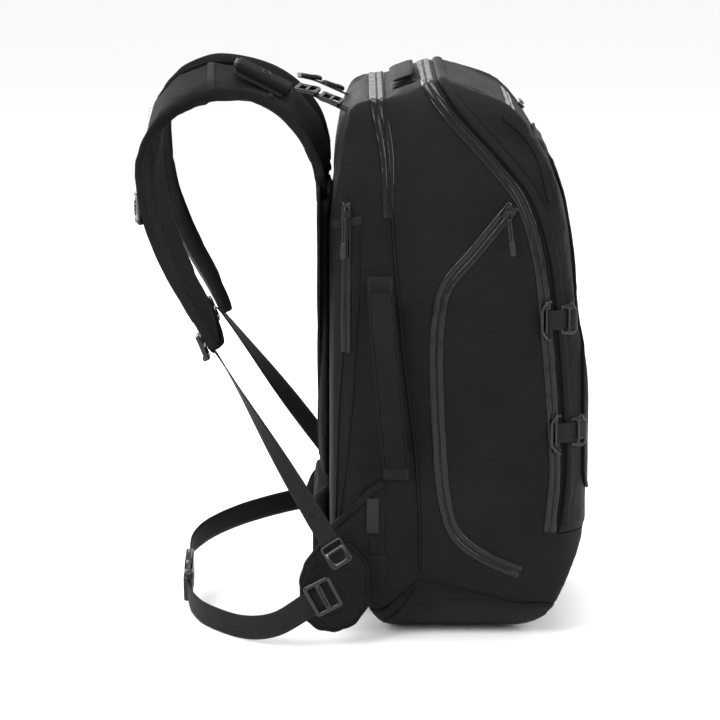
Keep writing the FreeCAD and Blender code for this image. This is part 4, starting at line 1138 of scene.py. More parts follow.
print("zips 5, main zip", round(sum((b - a).length for a, b in zip(top_line[0], top_line[0][1:])), 2),
      "m round the top")

# %% [markdown]
# Panels meet in seams: the edges are turned in, a cord or a folded tape covers
# them, and two rows of thread run beside it.  The front panel's edge carries a
# thick folded flap, which shades the main zip lower down.

# %% Seams, flap and piping


def piping(name, line, radius, body, finish="binding", slot="panel_fabric"):
    points, outs = line
    places = [p + o * radius * 0.35 for p, o in zip(points, outs)]
    return dress(cord(name, places, radius, outs=outs), body, finish, slot)


def seam_threads(name, lines, body, offset=2.6, sides=(-1, 1), slot="panel_fabric"):
    rows = [shifted(points, outs, side * offset * MM, 0.15 * MM) for points, outs in lines for side in sides]
    return dress(bead_row(name, rows, mm(STITCH), STITCH_STEP * MM, "thread"), body, None, slot)


flap_view = [p + Vector((0.0062, 0, 0.0015)) for p in seam_view if p.z > HINGE_LEVEL + 0.006]
flap_line = over_top(flap_view)
flap_points, flap_outs = flap_line
flap = strip("main_zip_flap", flap_points, flap_outs, 9.5 * MM, 1.6 * MM, crown=1.1 * MM, rise=0.2 * MM)
dress(flap, "front", "panel", "panel_fabric")
seam_threads("flap_stitches", [shifted(flap_points, flap_outs, 0.0, 0.0)], "front", offset=6.2)
# Painted shade: a near-black strip laid just inside the cloth under the front panel's seam, so that the slit
# beside the main zip looks shaded.
gap_shade_points, gap_shade_outs = over_top([p for p in seam_view if p.z > HINGE_LEVEL])
inside = [p - o * (PANEL_THICK + 0.9 * MM) for p, o in zip(gap_shade_points, gap_shade_outs)]
dress(strip("seam_gap_shade", inside, gap_shade_outs, 11 * MM, 0.8 * MM), "pack", "dark", "panel_fabric")
gusset_line = over_top(gusset_view[4:])
piping("gusset_piping", gusset_line, 1.5 * MM, "pack")
seam_threads("gusset_stitches", [gusset_line], "pack", offset=3.2)
base_lines = [on_side(base_view[2:-2], side) for side in (NEAR, FAR)]
for label, line in zip(("left", "right"), base_lines):
    piping(f"base_piping_{label}", line, 1.3 * MM, "pack")
seam_threads("base_stitches", base_lines, "pack", offset=3.0)
CORNER_SEAM = [(-29, 66), (-40, 44), (-52, 26), (-66, 12)]
corner_lines = [on_side(side_view(CORNER_SEAM), side) for side in (NEAR, FAR)]
seam_threads("corner_stitches", corner_lines, "pack", offset=1.6)
for label, line in zip(("left", "right"), corner_lines):
    piping(f"corner_piping_{label}", line, 1.1 * MM, "pack")

print("seams: flap, gusset, base and corner")

# %% [markdown]
# Padded pieces start from a copy of their plain solid.  A voxel remesh gives even
# faces, the copy is shrunk a little, a short simulation blows it up again, and one
# subdivision rounds it.  Bindings and seams are laid on it afterwards.

# %% Padded pieces


def puffed(name, node, voxel=4.0, cap=3.0, pressure=4.0, shrink=0.8, smooth=4, subdivide=1, held=None):
    work = cad_mesh([node])
    mesh = bpy.data.meshes.new(name)
    work.to_mesh(mesh)
    work.free()
    obj = add_object(name, mesh)
    with_modifier(obj, "REMESH", mode="VOXEL", voxel_size=voxel * MM)
    settle(obj)
    with_modifier(obj, "SMOOTH", factor=0.5, iterations=smooth)
    settle(obj)
    for vert in obj.data.vertices:
        vert.co -= vert.normal * shrink * MM
    fixed = [v.index for v in obj.data.vertices if held(v.co)] if held else ()
    inflate(obj, pressure, cap * MM, fixed)
    if subdivide:
        with_modifier(obj, "SUBSURF", levels=subdivide, render_levels=subdivide)
        settle(obj)
    return shade_smooth(obj)


def tree_of(obj):
    return BVHTree.FromPolygons([v.co.copy() for v in obj.data.vertices],
                                [tuple(p.vertices) for p in obj.data.polygons])


# Centre of the shoulder strap, how far its inner edge leans forward and rises
# over the strap's width, and its width and thickness as shares of the full ones.
STRAP = [
    (-127, -61, 449, 4, 18, 0.90, 0.55), (-129, -61, 480, 6, 18, 0.93, 0.75),
    (-140, -62, 512, 11, 17, 0.97, 0.90),
    (-160, -61, 537, 10, 20, 1.0, 1.0), (-180, -61, 551, 6, 23, 1.0, 1.0), (-205, -61, 560, 0, 25, 1.0, 1.0),
    (-240, -63, 562, -3, 29, 1.0, 1.0), (-272, -68, 550, -5, 27, 1.0, 1.0),
    (-294, -77, 529, -2, 20, 1.0, 1.0),
    (-302, -88, 500, 8, 10, 1.0, 1.0), (-302, -95, 466, 12, 0, 1.0, 1.0), (-296, -100, 432, 13, -2, 1.0, 1.0),
    (-284, -104, 397, 16, -5, 1.0, 1.0), (-270, -107, 366, 17, -5, 0.97, 1.0),
    (-254, -109, 337, 16, -4, 0.9, 0.95),
    (-241, -110, 311, 14, -4, 0.74, 0.85), (-234, -110, 292, 10, -2, 0.5, 0.7),
]
STRAP_WIDTH, STRAP_THICK = 0.061, 0.015


def strap_line(share, lift=0.0, first=0, last=None, step=0.004):
    """A line along the strap: share is -0.5 at its outer edge and 0.5 at its inner one."""
    centres, outs = [], []
    rows = STRAP[first:last]
    mids = [Vector(r[:3]) * MM for r in rows]
    runs = tangents(mids)
    for (x, y, z, lean, rise, wide, thick), mid, run in zip(rows, mids, runs):
        side = Vector((lean, 60, rise)).normalized()
        out = side.cross(run).normalized()
        centres.append(mid + side * share * STRAP_WIDTH * wide + out * lift * STRAP_THICK * thick)
        outs.append(out)
    points = spline(centres, step)
    smooth_outs = spline([Vector(o) for o in outs], 0.02)
    keyed = [smooth_outs[min(len(smooth_outs) - 1,
                             round(i * (len(smooth_outs) - 1) / (len(points) - 1)))].normalized()
             for i in range(len(points))]
    return points, keyed


strap_left = puffed("shoulder_strap_left_pad", "shoulder_strap_left", voxel=4.0, cap=3.5, shrink=1.5,
                    smooth=3)
strap_tree = tree_of(strap_left)


def on_strap(line, lift=0.0):
    """A strap line put on the strap's nearest face."""
    places, faces = [], []
    for p, o in zip(*line):
        hit = strap_tree.ray_cast(p + o * 0.03, -o)
        place, normal = (hit[0], hit[1]) if hit[0] else (p, o)
        places.append(place + normal * lift)
        faces.append(normal)
    return places, faces


def solid_boxes(node):
    """The boxes of a CAD node's separate solids, from the wearer's left to the right."""
    work = cad_mesh([node])
    seen, found = set(), []
    for vert in work.verts:
        if vert in seen:
            continue
        group, front = [], [vert]
        seen.add(vert)
        while front:
            here = front.pop()
            group.append(here.co.copy())
            for edge in here.link_edges:
                other = edge.other_vert(here)
                if other not in seen:
                    seen.add(other)
                    front.append(other)
        low = Vector([min(co[i] for co in group) for i in range(3)])
        high = Vector([max(co[i] for co in group) for i in range(3)])
        found.append((low, high))
    work.free()
    return sorted(found, key=lambda box: (box[0].y, box[0].z))


def two_faced(obj, line, outer, inner, turn=-0.35):
    """Gives the inner finish to the faces that look against the line's out directions."""
    points, outs = line
    tree = KDTree(len(points))
    for i, point in enumerate(points):
        tree.insert(point, i)
    tree.balance()
    obj.data.materials.clear()
    for finish in (outer, inner):
        obj.data.materials.append(FINISH[finish])
    for face in obj.data.polygons:
        face.material_index = int(face.normal.dot(outs[tree.find(face.center)[1]]) < turn)
    return obj


def edge_band(tree, points, aways, width, thick=1.0, crown=0.8):
    """A folded tape round a pad's rim; aways point out of the rim."""
    places = []
    for p, away in zip(points, aways):
        hit = tree.ray_cast(p + away * 0.03, -away)[0]
        places.append((hit or p) - away * 0.4 * MM)
    return strip("edge_band", places, aways, width * MM, thick * MM, crown=crown * MM)


def strap_edge(edge):
    points, outs = strap_line(edge * 0.5, first=0)
    aways = [a.cross(o).normalized() * edge for a, o in zip(tangents(points), outs)]
    middle = [p - w * 0.004 for p, w in zip(points, aways)]
    return edge_band(strap_tree, middle, aways, 11.5)


def strap_band(number, width):
    """A tape across the strap at one of its rows."""
    mids = [Vector(r[:3]) * MM for r in STRAP]
    lean, rise, wide = STRAP[number][3:6]
    side = Vector((lean, 60, rise)).normalized()
    out = side.cross(tangents(mids)[number]).normalized()
    across = [mids[number] + side * share * STRAP_WIDTH * wide for share in (-0.42, -0.2, 0.0, 0.2, 0.42)]
    places = on_strap((across, [out] * 5))[0]
    points = spline(places, 0.004)
    return strip("band", points, [out] * len(points), width * MM, 1.2 * MM, crown=0.4 * MM, rise=-0.3 * MM)


two_faced(strap_left, strap_line(0), "strap", "mesh")
strap_right = mirror_mesh(strap_left, "shoulder_strap_right_pad")
for obj, node in ((strap_left, "shoulder_strap_left"), (strap_right, "shoulder_strap_right")):
    dress(obj, "pack", None, "strap_fabric", node)
dress(both("strap_bindings", lambda: join("edges", [strap_edge(-1), strap_edge(1)])), "pack", "binding",
      "strap_fabric")
dress(both("strap_bands", lambda: join("bands", [strap_band(6, 8), strap_band(4, 6)])),
      "pack", "web20", "strap_fabric")


def strap_threads():
    rows = [on_strap(strap_line(share, 0.5, first=1), 0.2 * MM) for share in (-0.37, 0.37)]
    return bead_row("strap_rows", rows, mm(STITCH), STITCH_STEP * MM, "thread")


dress(both("strap_stitches", strap_threads), "pack", None, "strap_fabric")

# %% [markdown]
# The trigger sleeve is a folded patch sewn on the left strap.  The handle slides
# out of its lower end.  A small oval eyelet and two rows of thread finish it.

# %% Trigger sleeve and strap adjusters
sleeve_low, sleeve_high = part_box("trigger_sleeve")
SLEEVE_ALONG = Vector((-45, 0, 23)).normalized()
SLEEVE_SIDE = Vector((0, 60, 23)).normalized()
SLEEVE_OUT = SLEEVE_SIDE.cross(SLEEVE_ALONG).normalized()
if SLEEVE_OUT.z < 0:
    SLEEVE_OUT = -SLEEVE_OUT
SLEEVE_SIZE = (0.060, 0.0178, 0.0098)
sleeve_mid = (sleeve_low + sleeve_high) / 2
sleeve_at = facing(sleeve_mid, SLEEVE_ALONG, SLEEVE_OUT)
sleeve = pillow_box("sleeve", SLEEVE_SIZE, 0.0028, sleeve_at)
hem = pillow_box("hem", (0.054, 0.034, 0.0022), 0.0009, sleeve_at, (0.002, 0, -0.0046))
dress(join("trigger_sleeve_patch", [sleeve, hem]), "pack", "strap", "strap_fabric", "trigger_sleeve")


def loop_on(matrix, length, width, height, step=0.0012):
    """An oval of points with its out directions, in the plane of the matrix."""
    out = matrix.to_3x3() @ UP
    count = max(12, round(3 * (length + width) / 2 / step))
    points = [matrix @ Vector((length / 2 * math.cos(2 * math.pi * i / count),
                               width / 2 * math.sin(2 * math.pi * i / count), height)) for i in range(count)]
    return points, [out] * count


eyelet, eyelet_outs = loop_on(sleeve_at, 0.009, 0.006, SLEEVE_SIZE[2] / 2 + 0.0002)
dress(cord("sleeve_eyelet", eyelet, 1.0 * MM, closed=True, outs=eyelet_outs), "pack", "metal", "zip_metal")
hem_rows = []
for side in (-1, 1):
    hem_row = [sleeve_at @ Vector((x * MM, side * 0.0148, -0.0033)) for x in range(-24, 29, 2)]
    hem_rows.append((hem_row, [SLEEVE_OUT] * len(hem_row)))
dress(bead_row("sleeve_stitches", hem_rows, mm(STITCH), STITCH_STEP * MM, "thread"), "pack", None,
      "strap_fabric")


def ladder(name, length, width, thick, matrix, bars=(3.5, 3.5), radius=3.0, bend=None, edge=1.0):
    """A strap adjuster: X along the strap, two slots with a bar between."""
    rim, bar = bars
    slot = (length - 2 * rim - bar) / 2
    outlines = [box_outline(length, width, radius)]
    for side in (-1, 1):
        centre = (side * (slot + bar) / 2, 0)
        outlines.append(list(reversed(box_outline(slot, width - 2 * rim, 1.2, centre))))
    scaled = [[Vector(p) * MM for p in outline] for outline in outlines]
    return plate(name, scaled, thick * MM, edge * MM, matrix, bend)


def wavy(amount, length):
    def bend(co):
        return Vector((co.x, co.y, co.z + amount * MM * math.sin(co.x / (length * MM) * 2 * math.pi)))
    return bend


LOCK_ALONG = Vector((0.42, 0, -0.91))
lock_low, lock_high = solid_boxes("strap_ladder_locks")[0]


def strap_lock():
    at = facing((lock_low + lock_high) / 2, LOCK_ALONG, (-0.91, 0, -0.42))
    frame_part = ladder("lock", 27, 27, 4.2, at, bend=wavy(0.8, 27))
    lip = pillow_box("lip", (0.0055, 0.021, 0.0075), 0.0018, at, (0.0115, 0, 0.0012))
    return join("lock", [frame_part, lip])


dress(both("strap_locks", strap_lock), "pack", "plastic", "hardware", "strap_ladder_locks")

print("trigger sleeve", [round(v / MM) for v in SLEEVE_SIZE], "mm, strap adjusters 2")

# %% [markdown]
# The load lifters run from the strap to the top of the frame through two wavy
# adjusters.  The lower webbing turns a quarter on its way down to a flat hook,
# and a dense block of thread locks its folded end.

# %% Load lifters and lower webbing
LIFTER = [(-154, -64, 553), (-138, -67, 549), (-120, -70, 541), (-96, -74, 530)]


def lifter_line():
    points = spline([Vector(p) * MM for p in LIFTER], 0.003)
    across = Vector((0.15, 1, 0.1)).normalized()
    outs = [across.cross(a).normalized() for a in tangents(points)]
    return points, [o if o.z > 0 else -o for o in outs]


def lifter_webbing():
    points, outs = lifter_line()
    return strip("lifter", points, outs, 20 * MM, 1.6 * MM, rise=-0.8 * MM)


def lifter_locks():
    points, outs = lifter_line()
    made = []
    for low, high in solid_boxes("load_lifter_buckles")[:2]:
        centre = (low + high) / 2
        i = min(range(len(points)), key=lambda k: (points[k] - centre).length)
        along = tangents(points)[i]
        made.append(ladder("lifter_lock", 23, 28, 4.0, facing(centre, along, outs[i]), bend=wavy(1.3, 23)))
    return join("lifter_locks", made)


dress(both("lifter_straps", lifter_webbing), "pack", "web20", "webbing", "load_lifter_webbing")
dress(both("lifter_buckles", lifter_locks), "pack", "plastic", "hardware", "load_lifter_buckles")

WEB_TOP, WEB_FOOT = Vector((-0.231, -0.110, 0.282)), Vector((-0.120, -0.198, 0.114))
web_run = (WEB_FOOT - WEB_TOP).normalized()
FOOT_SIDE = Vector((-web_run.z, 0, web_run.x)).normalized() * -1


def lower_line():
    points = spline([WEB_TOP + Vector((-0.0125, 0, 0.0145)), WEB_TOP, WEB_TOP.lerp(WEB_FOOT, 0.5), WEB_FOOT],
                    0.004)
    last = len(points) - 1
    sag = [p + Vector((0, -1, 0)) * 0.0016 * math.sin(math.pi * i / last) for i, p in enumerate(points)]
    outs = []
    for i in range(len(points)):
        share = i / last
        across = Vector((0, 1, 0)).lerp(FOOT_SIDE, share)
        outs.append(across.cross(web_run).normalized())
    return sag, outs


def lower_strap():
    points, outs = lower_line()
    web = strip("web", points, outs, 20 * MM, 1.6 * MM, rise=-0.8 * MM)
    fold = strip("fold", points[-9:], outs[-9:], 19.4 * MM, 1.5 * MM, rise=0.8 * MM)
    return join("web", [web, fold])


def lower_bartack():
    points, outs = lower_line()
    at = facing(points[-8], web_run, outs[-8])
    rows = []
    for k in range(-4, 5):
        line = [at @ Vector((k * 1.4 * MM, y * MM, 0.0024)) for y in (-7, 0, 7)]
        rows.append((line, [outs[-8]] * 3))
    return bead_row("bartack", rows, (0.0016, 0.0008, 0.0005), 1.5 * MM, "thread")


def lower_hook():
    at = facing(WEB_FOOT + web_run * 0.0135, web_run, FOOT_SIDE.cross(web_run))
    body = [[Vector(p) * MM for p in box_outline(27, 25, 5)],
            [Vector(p) * MM for p in reversed(box_outline(5.5, 19, 1.5, (-8.0, 0)))],
            [Vector(p) * MM for p in reversed(rounded_outline([(-2, -8), (9, -6), (9, 6), (-2, 8)], 3))]]
    return plate("hook", body, 4.6 * MM, 1.2 * MM, at)


dress(both("lower_straps", lower_strap), "pack", "web20", "webbing", "lower_webbing")
dress(both("lower_bartacks", lower_bartack), "pack", None, "webbing")
dress(both("lower_hooks", lower_hook), "pack", "plastic", "hardware", "webbing_hooks")
print("lower straps", round((WEB_FOOT - WEB_TOP).length, 3), "m long")

# %% [markdown]
# On each side two straps pull the load together.  Each one starts in a six-sided
# frame sewn to the bag and ends under a rounded adjuster with a small loop.

# %% Compression straps


def pressed_line(x, z, reach, side=NEAR):
    return on_side(even([Vector((x, 0, z)), Vector((x + reach, 0, z))], 0.003), side)


def compression_parts():
    frames, webs, locks, threads = [], [], [], []
    lock_boxes = [b for b in solid_boxes("compression_buckles") if b[1].y < 0]
    frame_boxes = [b for b in solid_boxes("compression_frames") if b[1].y < 0]
    for (low, high) in frame_boxes:
        mid = (low + high) / 2
        lock_low, lock_high = min(lock_boxes, key=lambda b: abs((b[0].z + b[1].z) / 2 - mid.z))
        tall, deep = (high.z - low.z) / 2 - 1.7 * MM, (high.x - low.x) / 2 - 1.7 * MM
        ring = [(deep * 0.9, -tall), (deep * 0.2, -tall), (-deep, -tall * 0.6), (-deep, tall * 0.6),
                (deep * 0.2, tall), (deep * 0.9, tall)]
        level = mid.y
        path = even([Vector((mid.x + x, level, mid.z + z)) for x, z in ring], 0.0018)
        frames.append(cord("frame", path, 1.75 * MM, outs=[LEFT_OUT] * len(path), sides=10))
        bar = [Vector((mid.x - deep + 4.4 * MM, level, mid.z + z * tall)) for z in (-0.72, 0.72)]
        frames.append(cord("bar", even(bar, 0.004), 1.1 * MM, outs=[LEFT_OUT] * 9, sides=8))
        points, outs = pressed_line(mid.x - 0.002, mid.z, 0.030)
        lift = [min(3.2, 1.0 + i * 0.5) * MM for i in range(len(points))]
        raised = [p + o * up for p, o, up in zip(points, outs, lift)]
        webs.append(strip("web", raised, outs, 20 * MM, 1.6 * MM))
        for side in (-1, 1):
            row = [p + a.cross(o).normalized() * side * 7.2 * MM + o * 1.7 * MM
                   for p, a, o in zip(raised, tangents(raised), outs)]
            threads.append((row, outs))
        centre = (lock_low + lock_high) / 2
        found = skin_tree.find_nearest(centre)
        out = found[1]
        at = facing(found[0] + out * 6.3 * MM, (1, 0, 0), out)
        outlines = [[Vector(p) * MM for p in rounded_outline([(-8.5, -15), (3.5, -16), (8.5, -11), (8.5, 11),
                                                              (3.5, 16),
                                                             (-8.5, 15)], 4)],
                    [Vector(p) * MM for p in reversed(box_outline(5.0, 22.5, 1.5, (-3.4, 0)))],
                    [Vector(p) * MM for p in reversed(box_outline(4.2, 22.5, 1.5, (3.6, 0)))]]
        locks.append(plate("lock", outlines, 3.4 * MM, 1.1 * MM, at))
        prong = [at @ Vector((x * MM, y * MM, z * MM)) for x, y, z in
                 ((0, 14.5, 0.6), (1.2, 16.8, 1.6), (3.6, 17.0, 1.8), (4.6, 14.2, 0.8))]
        locks.append(cord("prong", spline(prong, 0.0012), 1.1 * MM, outs=None))
    return (join("frames", frames), join("webs", webs), join("locks", locks),
            bead_row("web_threads", threads, mm(STITCH), STITCH_STEP * MM, "thread"))


for piece, name, body, finish, slot, node in zip(
        compression_parts(),
        ("compression_rings", "compression_webs", "compression_locks", "compression_stitches"),
        ("pack", "front", "front", "front"), ("plastic", "web20", "plastic", None),
        ("hardware", "webbing", "hardware", "webbing"),
        ("compression_frames", "compression_straps", "compression_buckles", None)):
    whole = join(name, [piece, mirror_mesh(piece)])
    dress(whole, body, finish, slot, *([node] if node else []))

print("compression straps", len(solid_boxes("compression_straps")))

# %% [markdown]
# The side handle is a padded tube that stands off the bag, so that its shadow
# falls on the cloth; both ends are sewn down under webbing tabs.  The top handle
# is a plain webbing loop.

# %% Handles
handle_pad = puffed("side_handle_pad", "side_handle", voxel=2.6, cap=2.6, shrink=0.2, smooth=2)
dress(handle_pad, "side_grab", "strap", "webbing", "side_handle")
handle_tree = tree_of(handle_pad)
SIDE_HANDLE_TOP, SIDE_HANDLE_FOOT = (-0.070, 0.364), (-0.054, 0.184)


def handle_line(across, count=60):
    points, outs = [], []
    for i in range(count + 1):
        share = 0.03 + 0.94 * i / count
        x = SIDE_HANDLE_TOP[0] + (SIDE_HANDLE_FOOT[0] - SIDE_HANDLE_TOP[0]) * share + across
        z = SIDE_HANDLE_TOP[1] + (SIDE_HANDLE_FOOT[1] - SIDE_HANDLE_TOP[1]) * share
        hit = handle_tree.ray_cast(Vector((x, -WIDE, z)), Vector((0, 1, 0)))
        if hit[0]:
            points.append(hit[0] + hit[1] * 0.2 * MM)
            outs.append(hit[1])
    return points, outs


handle_rows = [handle_line(side * 9.0 * MM) for side in (-1, 1)]
dress(bead_row("side_handle_stitches", handle_rows, mm(STITCH), STITCH_STEP * MM, "thread"),
      "side_grab", None, "webbing")
edges = []
for side in (-1, 1):
    points, outs = handle_line(side * 11.5 * MM)
    edges.append(cord("edge", points, 1.3 * MM, outs=outs))
dress(join("side_handle_piping", edges), "side_grab", "binding", "webbing")

tabs, tab_threads = [], []
for low, high in solid_boxes("handle_tabs"):
    mid = (low + high) / 2
    if mid.z < 0.5:
        view = even([Vector((mid.x, 0, low.z)), Vector((mid.x, 0, high.z))], 0.003)
        points, outs = on_side(view)
        tabs.append(strip("tab", points, outs, 26 * MM, 1.4 * MM, rise=0.3 * MM))
    else:
        points, outs = lay(even([Vector((mid.x, low.y, high.z)), Vector((mid.x, high.y, high.z))], 0.003))
        tabs.append(strip("tab", points, outs, 25 * MM, 1.2 * MM, rise=0.2 * MM))
    for share in (0.2, 0.4, 0.6, 0.8):
        i = round(share * (len(points) - 1))
        row = [points[i] + tangents(points)[i].cross(outs[i]) * y * MM + outs[i] * 1.9 * MM for y in (-10, 0,
                                                                                                      10)]
        tab_threads.append((row, [outs[i]] * 3))
dress(join("handle_tab_webs", tabs), "pack", "web25", "webbing", "handle_tabs")
dress(bead_row("handle_tab_stitches", tab_threads, mm(STITCH), 3.0 * MM, "thread"), "pack", None, "webbing")

top_low, top_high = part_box("top_handle")
top_mid = (top_low + top_high) / 2
arch = [(-75, 2.6), (-62, 4.2), (-40, 5.8), (0, 6.6), (40, 5.8), (62, 4.2), (75, 2.6)]
top_path = spline([Vector((top_mid.x, y * MM, top_mid.z - 3.4 * MM + z * MM)) for y, z in arch], 0.003)
TOP_OUT = Vector((-math.sin(math.radians(20)), 0, math.cos(math.radians(20))))
top_wide = [(26 - 7 * (abs(p.y) / 0.075) ** 3) * MM for p in top_path]
top_web = strip("top_web", top_path, [TOP_OUT] * len(top_path), top_wide, 2.2 * MM, rise=-1.1 * MM)
dress(top_web, "top_grab", "web25", "webbing", "top_handle")
print("handles done, tabs", len(tabs))

# %% [markdown]
# Pockets and layers that lie on the bag are cut from the same swollen skin, lifted
# a little and thickened, so that they follow every bulge under them.

# %% Pockets and layers on the cloth


def front_prism(name, outline):
    """A front-view outline carried through the front half of the bag."""
    obj = prism(name, [Vector((y, 0, z)) for y, z in outline])
    obj.data.transform(Matrix.Translation((FAR_X, 0, 0)) @ Matrix(((0, 1, 0, 0), (1, 0, 0, 0), (0, 0, 1, 0),
                                                                   (0, 0, 0, 1))))
    obj.data.flip_normals()
    return obj


def patch(name, cutter, lift, finish, body, slot, *nodes, wanted=None):
    """A second layer of cloth over the bag, inside the cutter's outline."""
    obj = cut(bag, cutter, "INTERSECT", name)
    bpy.data.objects.remove(cutter)
    work = bmesh.new()
    work.from_mesh(obj.data)
    spare = [f for f in work.faces if f.material_index == 1 or (wanted
                                                                and not wanted(f.calc_center_median()))]
    bmesh.ops.delete(work, geom=spare, context="FACES")
    bmesh.ops.remove_doubles(work, verts=work.verts, dist=0.00015)
    bmesh.ops.delete(work, geom=[v for v in work.verts if not v.link_faces], context="VERTS")
    for face in work.faces:
        face.material_index = 0
    work.normal_update()
    for vert in work.verts:
        rim = any(edge.is_boundary for edge in vert.link_edges)
        vert.co += vert.normal * (lift * (0.35 if rim else 1.0)) * MM
    work.to_mesh(obj.data)
    work.free()
    with_modifier(obj, "SOLIDIFY", thickness=(lift + 0.6) * MM, offset=-1.0)
    settle(obj)
    shade_smooth(obj, 50)
    return dress(obj, body, finish, slot, *nodes)


POCKET = [(-116, 60), (-119, 118), (-79, 162), (-66, 168), (-62, 40), (-70, 34)]
patch("side_pocket_cloth", prism("pocket_cutter", side_view(POCKET, curved=False)), 1.3, "gusset",
      "pack", "ripstop_fabric", "side_pockets", wanted=lambda c: abs(c.y) > 0.12)
front_low, front_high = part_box("front_pocket")
front_outline = rounded_outline([(-0.131, front_low.z), (0.131, front_low.z), (0.131, front_high.z - 0.03),
                                 (0.10, front_high.z), (-0.10, front_high.z), (-0.131, front_high.z - 0.03)],
                                 0.03)
patch("front_pocket_cloth", front_prism("front_pocket_cutter", front_outline), 2.0, "gusset", "front",
      "ripstop_fabric", "front_pocket", wanted=lambda c: c.x > 0.02)
rim = []
for y, z in front_outline + front_outline[:1]:
    hit = skin_tree.ray_cast(Vector((0.3, y, z)), Vector((-1, 0, 0)))[0]
    if hit:
        rim.append(hit)
rim_line = lay(even(rim, 0.003))
piping("front_pocket_piping", ([p + o * 1.0 * MM for p, o in zip(*rim_line)], rim_line[1]), 1.6 * MM, "front")
seam_threads("front_pocket_stitches", [([p + o * 2.0 * MM for p, o in zip(*rim_line)], rim_line[1])], "front",
             offset=4.0, sides=(-1,))

POCKET_EDGE = [(-119, 116), (-79, 160), (-66, 167)]
pocket_edges = [on_side(side_view(POCKET_EDGE, curved=False), side) for side in (NEAR, FAR)]
for label, (points, outs) in zip(("left", "right"), pocket_edges):
    raised = [p + o * 1.4 * MM for p, o in zip(points, outs)]
    dress(strip(f"pocket_hem_{label}", raised, outs, 8 * MM, 1.2 * MM, crown=0.6 * MM), "pack", "binding",
          "ripstop_fabric")

print("pockets: two side pockets and one front pocket")

# %% [markdown]
# The harness side is covered by layers whose seams fan out from one low point.
# A ribbed binding closes them at the top.

# %% Harness seams, tags and small bartacks
FAN = [[(-115, 110), (-111, 240), (-107, 300), (-103, 424)],
       [(-113, 108), (-100, 220), (-93, 330), (-89, 424)]]
fan_lines = [on_side(side_view(rows), side) for side in (NEAR, FAR) for rows in FAN]
for number, line in enumerate(fan_lines):
    piping(f"harness_seam_{number}", line, 1.0 * MM, "pack")
seam_threads("harness_seam_stitches", fan_lines, "pack", offset=2.2)
binding_view = even([Vector((-0.1175, 0, 0.428)), Vector((-0.088, 0, 0.434))], 0.002)
for label, side in (("left", NEAR), ("right", FAR)):
    points, outs = on_side(binding_view, side, 0.002)
    dress(strip(f"harness_binding_{label}", points, outs, 9 * MM, 1.2 * MM, crown=0.6 * MM), "pack", "web20",
          "webbing")

tag_low, tag_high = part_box("label_tag")
tag_mid = (tag_low + tag_high) / 2
tag_line = on_side(even([Vector((tag_mid.x, 0, tag_low.z)), Vector((tag_mid.x, 0, tag_high.z))], 0.003))
tag_outs = tag_line[1]
tag_points = [p + o * 1.8 * MM for p, o in zip(*tag_line)]
dress(strip("blank_tag", tag_points, tag_outs, 12.5 * MM, 0.9 * MM), "pack", "label", "label", "label_tag")
small_view = even([Vector((tag_mid.x + 0.001, 0, tag_low.z - 0.022)),
                   Vector((tag_mid.x + 0.001, 0, tag_low.z - 0.006))], 0.002)
points, outs = on_side(small_view, NEAR, 0.002)
dress(strip("small_tag", [p + o * 1.6 * MM for p, o in zip(points, outs)], outs, 8 * MM, 0.8 * MM), "pack",
      "binding", "label")
bartacks = []
for x, z, length in ((-72, 89, 16), (-104, 130, 12), (-88, 152, 12)):
    for k in range(4):
        view = even([Vector(((x - length / 2) * MM, 0, (z + k * 0.8) * MM)),
                     Vector(((x + length / 2) * MM, 0, (z + k * 0.8) * MM))], 0.002)
        points, outs = on_side(view, NEAR, 0.002)
        bartacks.append(([p + o * 1.8 * MM for p, o in zip(points, outs)], outs))
dress(bead_row("bartacks", bartacks, (0.0016, 0.0006, 0.0005), 1.5 * MM, "thread"), "pack", None,
      "panel_fabric")

print("harness seams", len(fan_lines), "bartack rows", len(bartacks))

# %% [markdown]
# The upper front has its own small pocket, marked by a curved seam with a raised
# lip that steps down each side.

# %% Top pocket seam
LIP = [(52, 534), (66, 524), (80, 508), (90, 488), (98, 452)]
lip_lines = [on_side(side_view(LIP), side) for side in (NEAR, FAR)]
for label, (points, outs) in zip(("left", "right"), lip_lines):
    dress(strip(f"top_pocket_lip_{label}", points, outs, 7 * MM, 1.4 * MM, crown=0.8 * MM), "front",
          "binding", "panel_fabric")
seam_threads("top_pocket_stitches", lip_lines, "front", offset=5.0)

print("top pocket lip", len(lip_lines), "sides")

# %% [markdown]
# The pads that touch the wearer: a quilted back panel, the back pad behind it, the
# lumbar pad and two teardrop hip wings with a folded tape round the rim.

# %% Pads against the wearer


def quilt(co):
    """Held lines of the back panel: two upright channels and three level ones."""
    upright = abs(abs(co.y) - 0.052) < 0.0035
    level = min(abs(co.z - z) for z in (0.245, 0.320, 0.392)) < 0.003
    rim = abs(co.y) > 0.138 or co.z < 0.180 or co.z > 0.452
    return upright or level or rim


cover = puffed("harness_cover_cloth", "harness_cover", voxel=2.6, cap=4.5, shrink=0.0, smooth=1, subdivide=0,
               held=quilt)
dress(cover, "pack", "mesh", "foam", "harness_cover")
for label, node in (("back_pad_foam", "back_pad"), ("lumbar_pad_foam", "lumbar_pad")):
    pad = puffed(label, node, voxel=4.0, cap=3.0, shrink=1.0)
    dress(pad, "pack", "mesh", "foam", node)

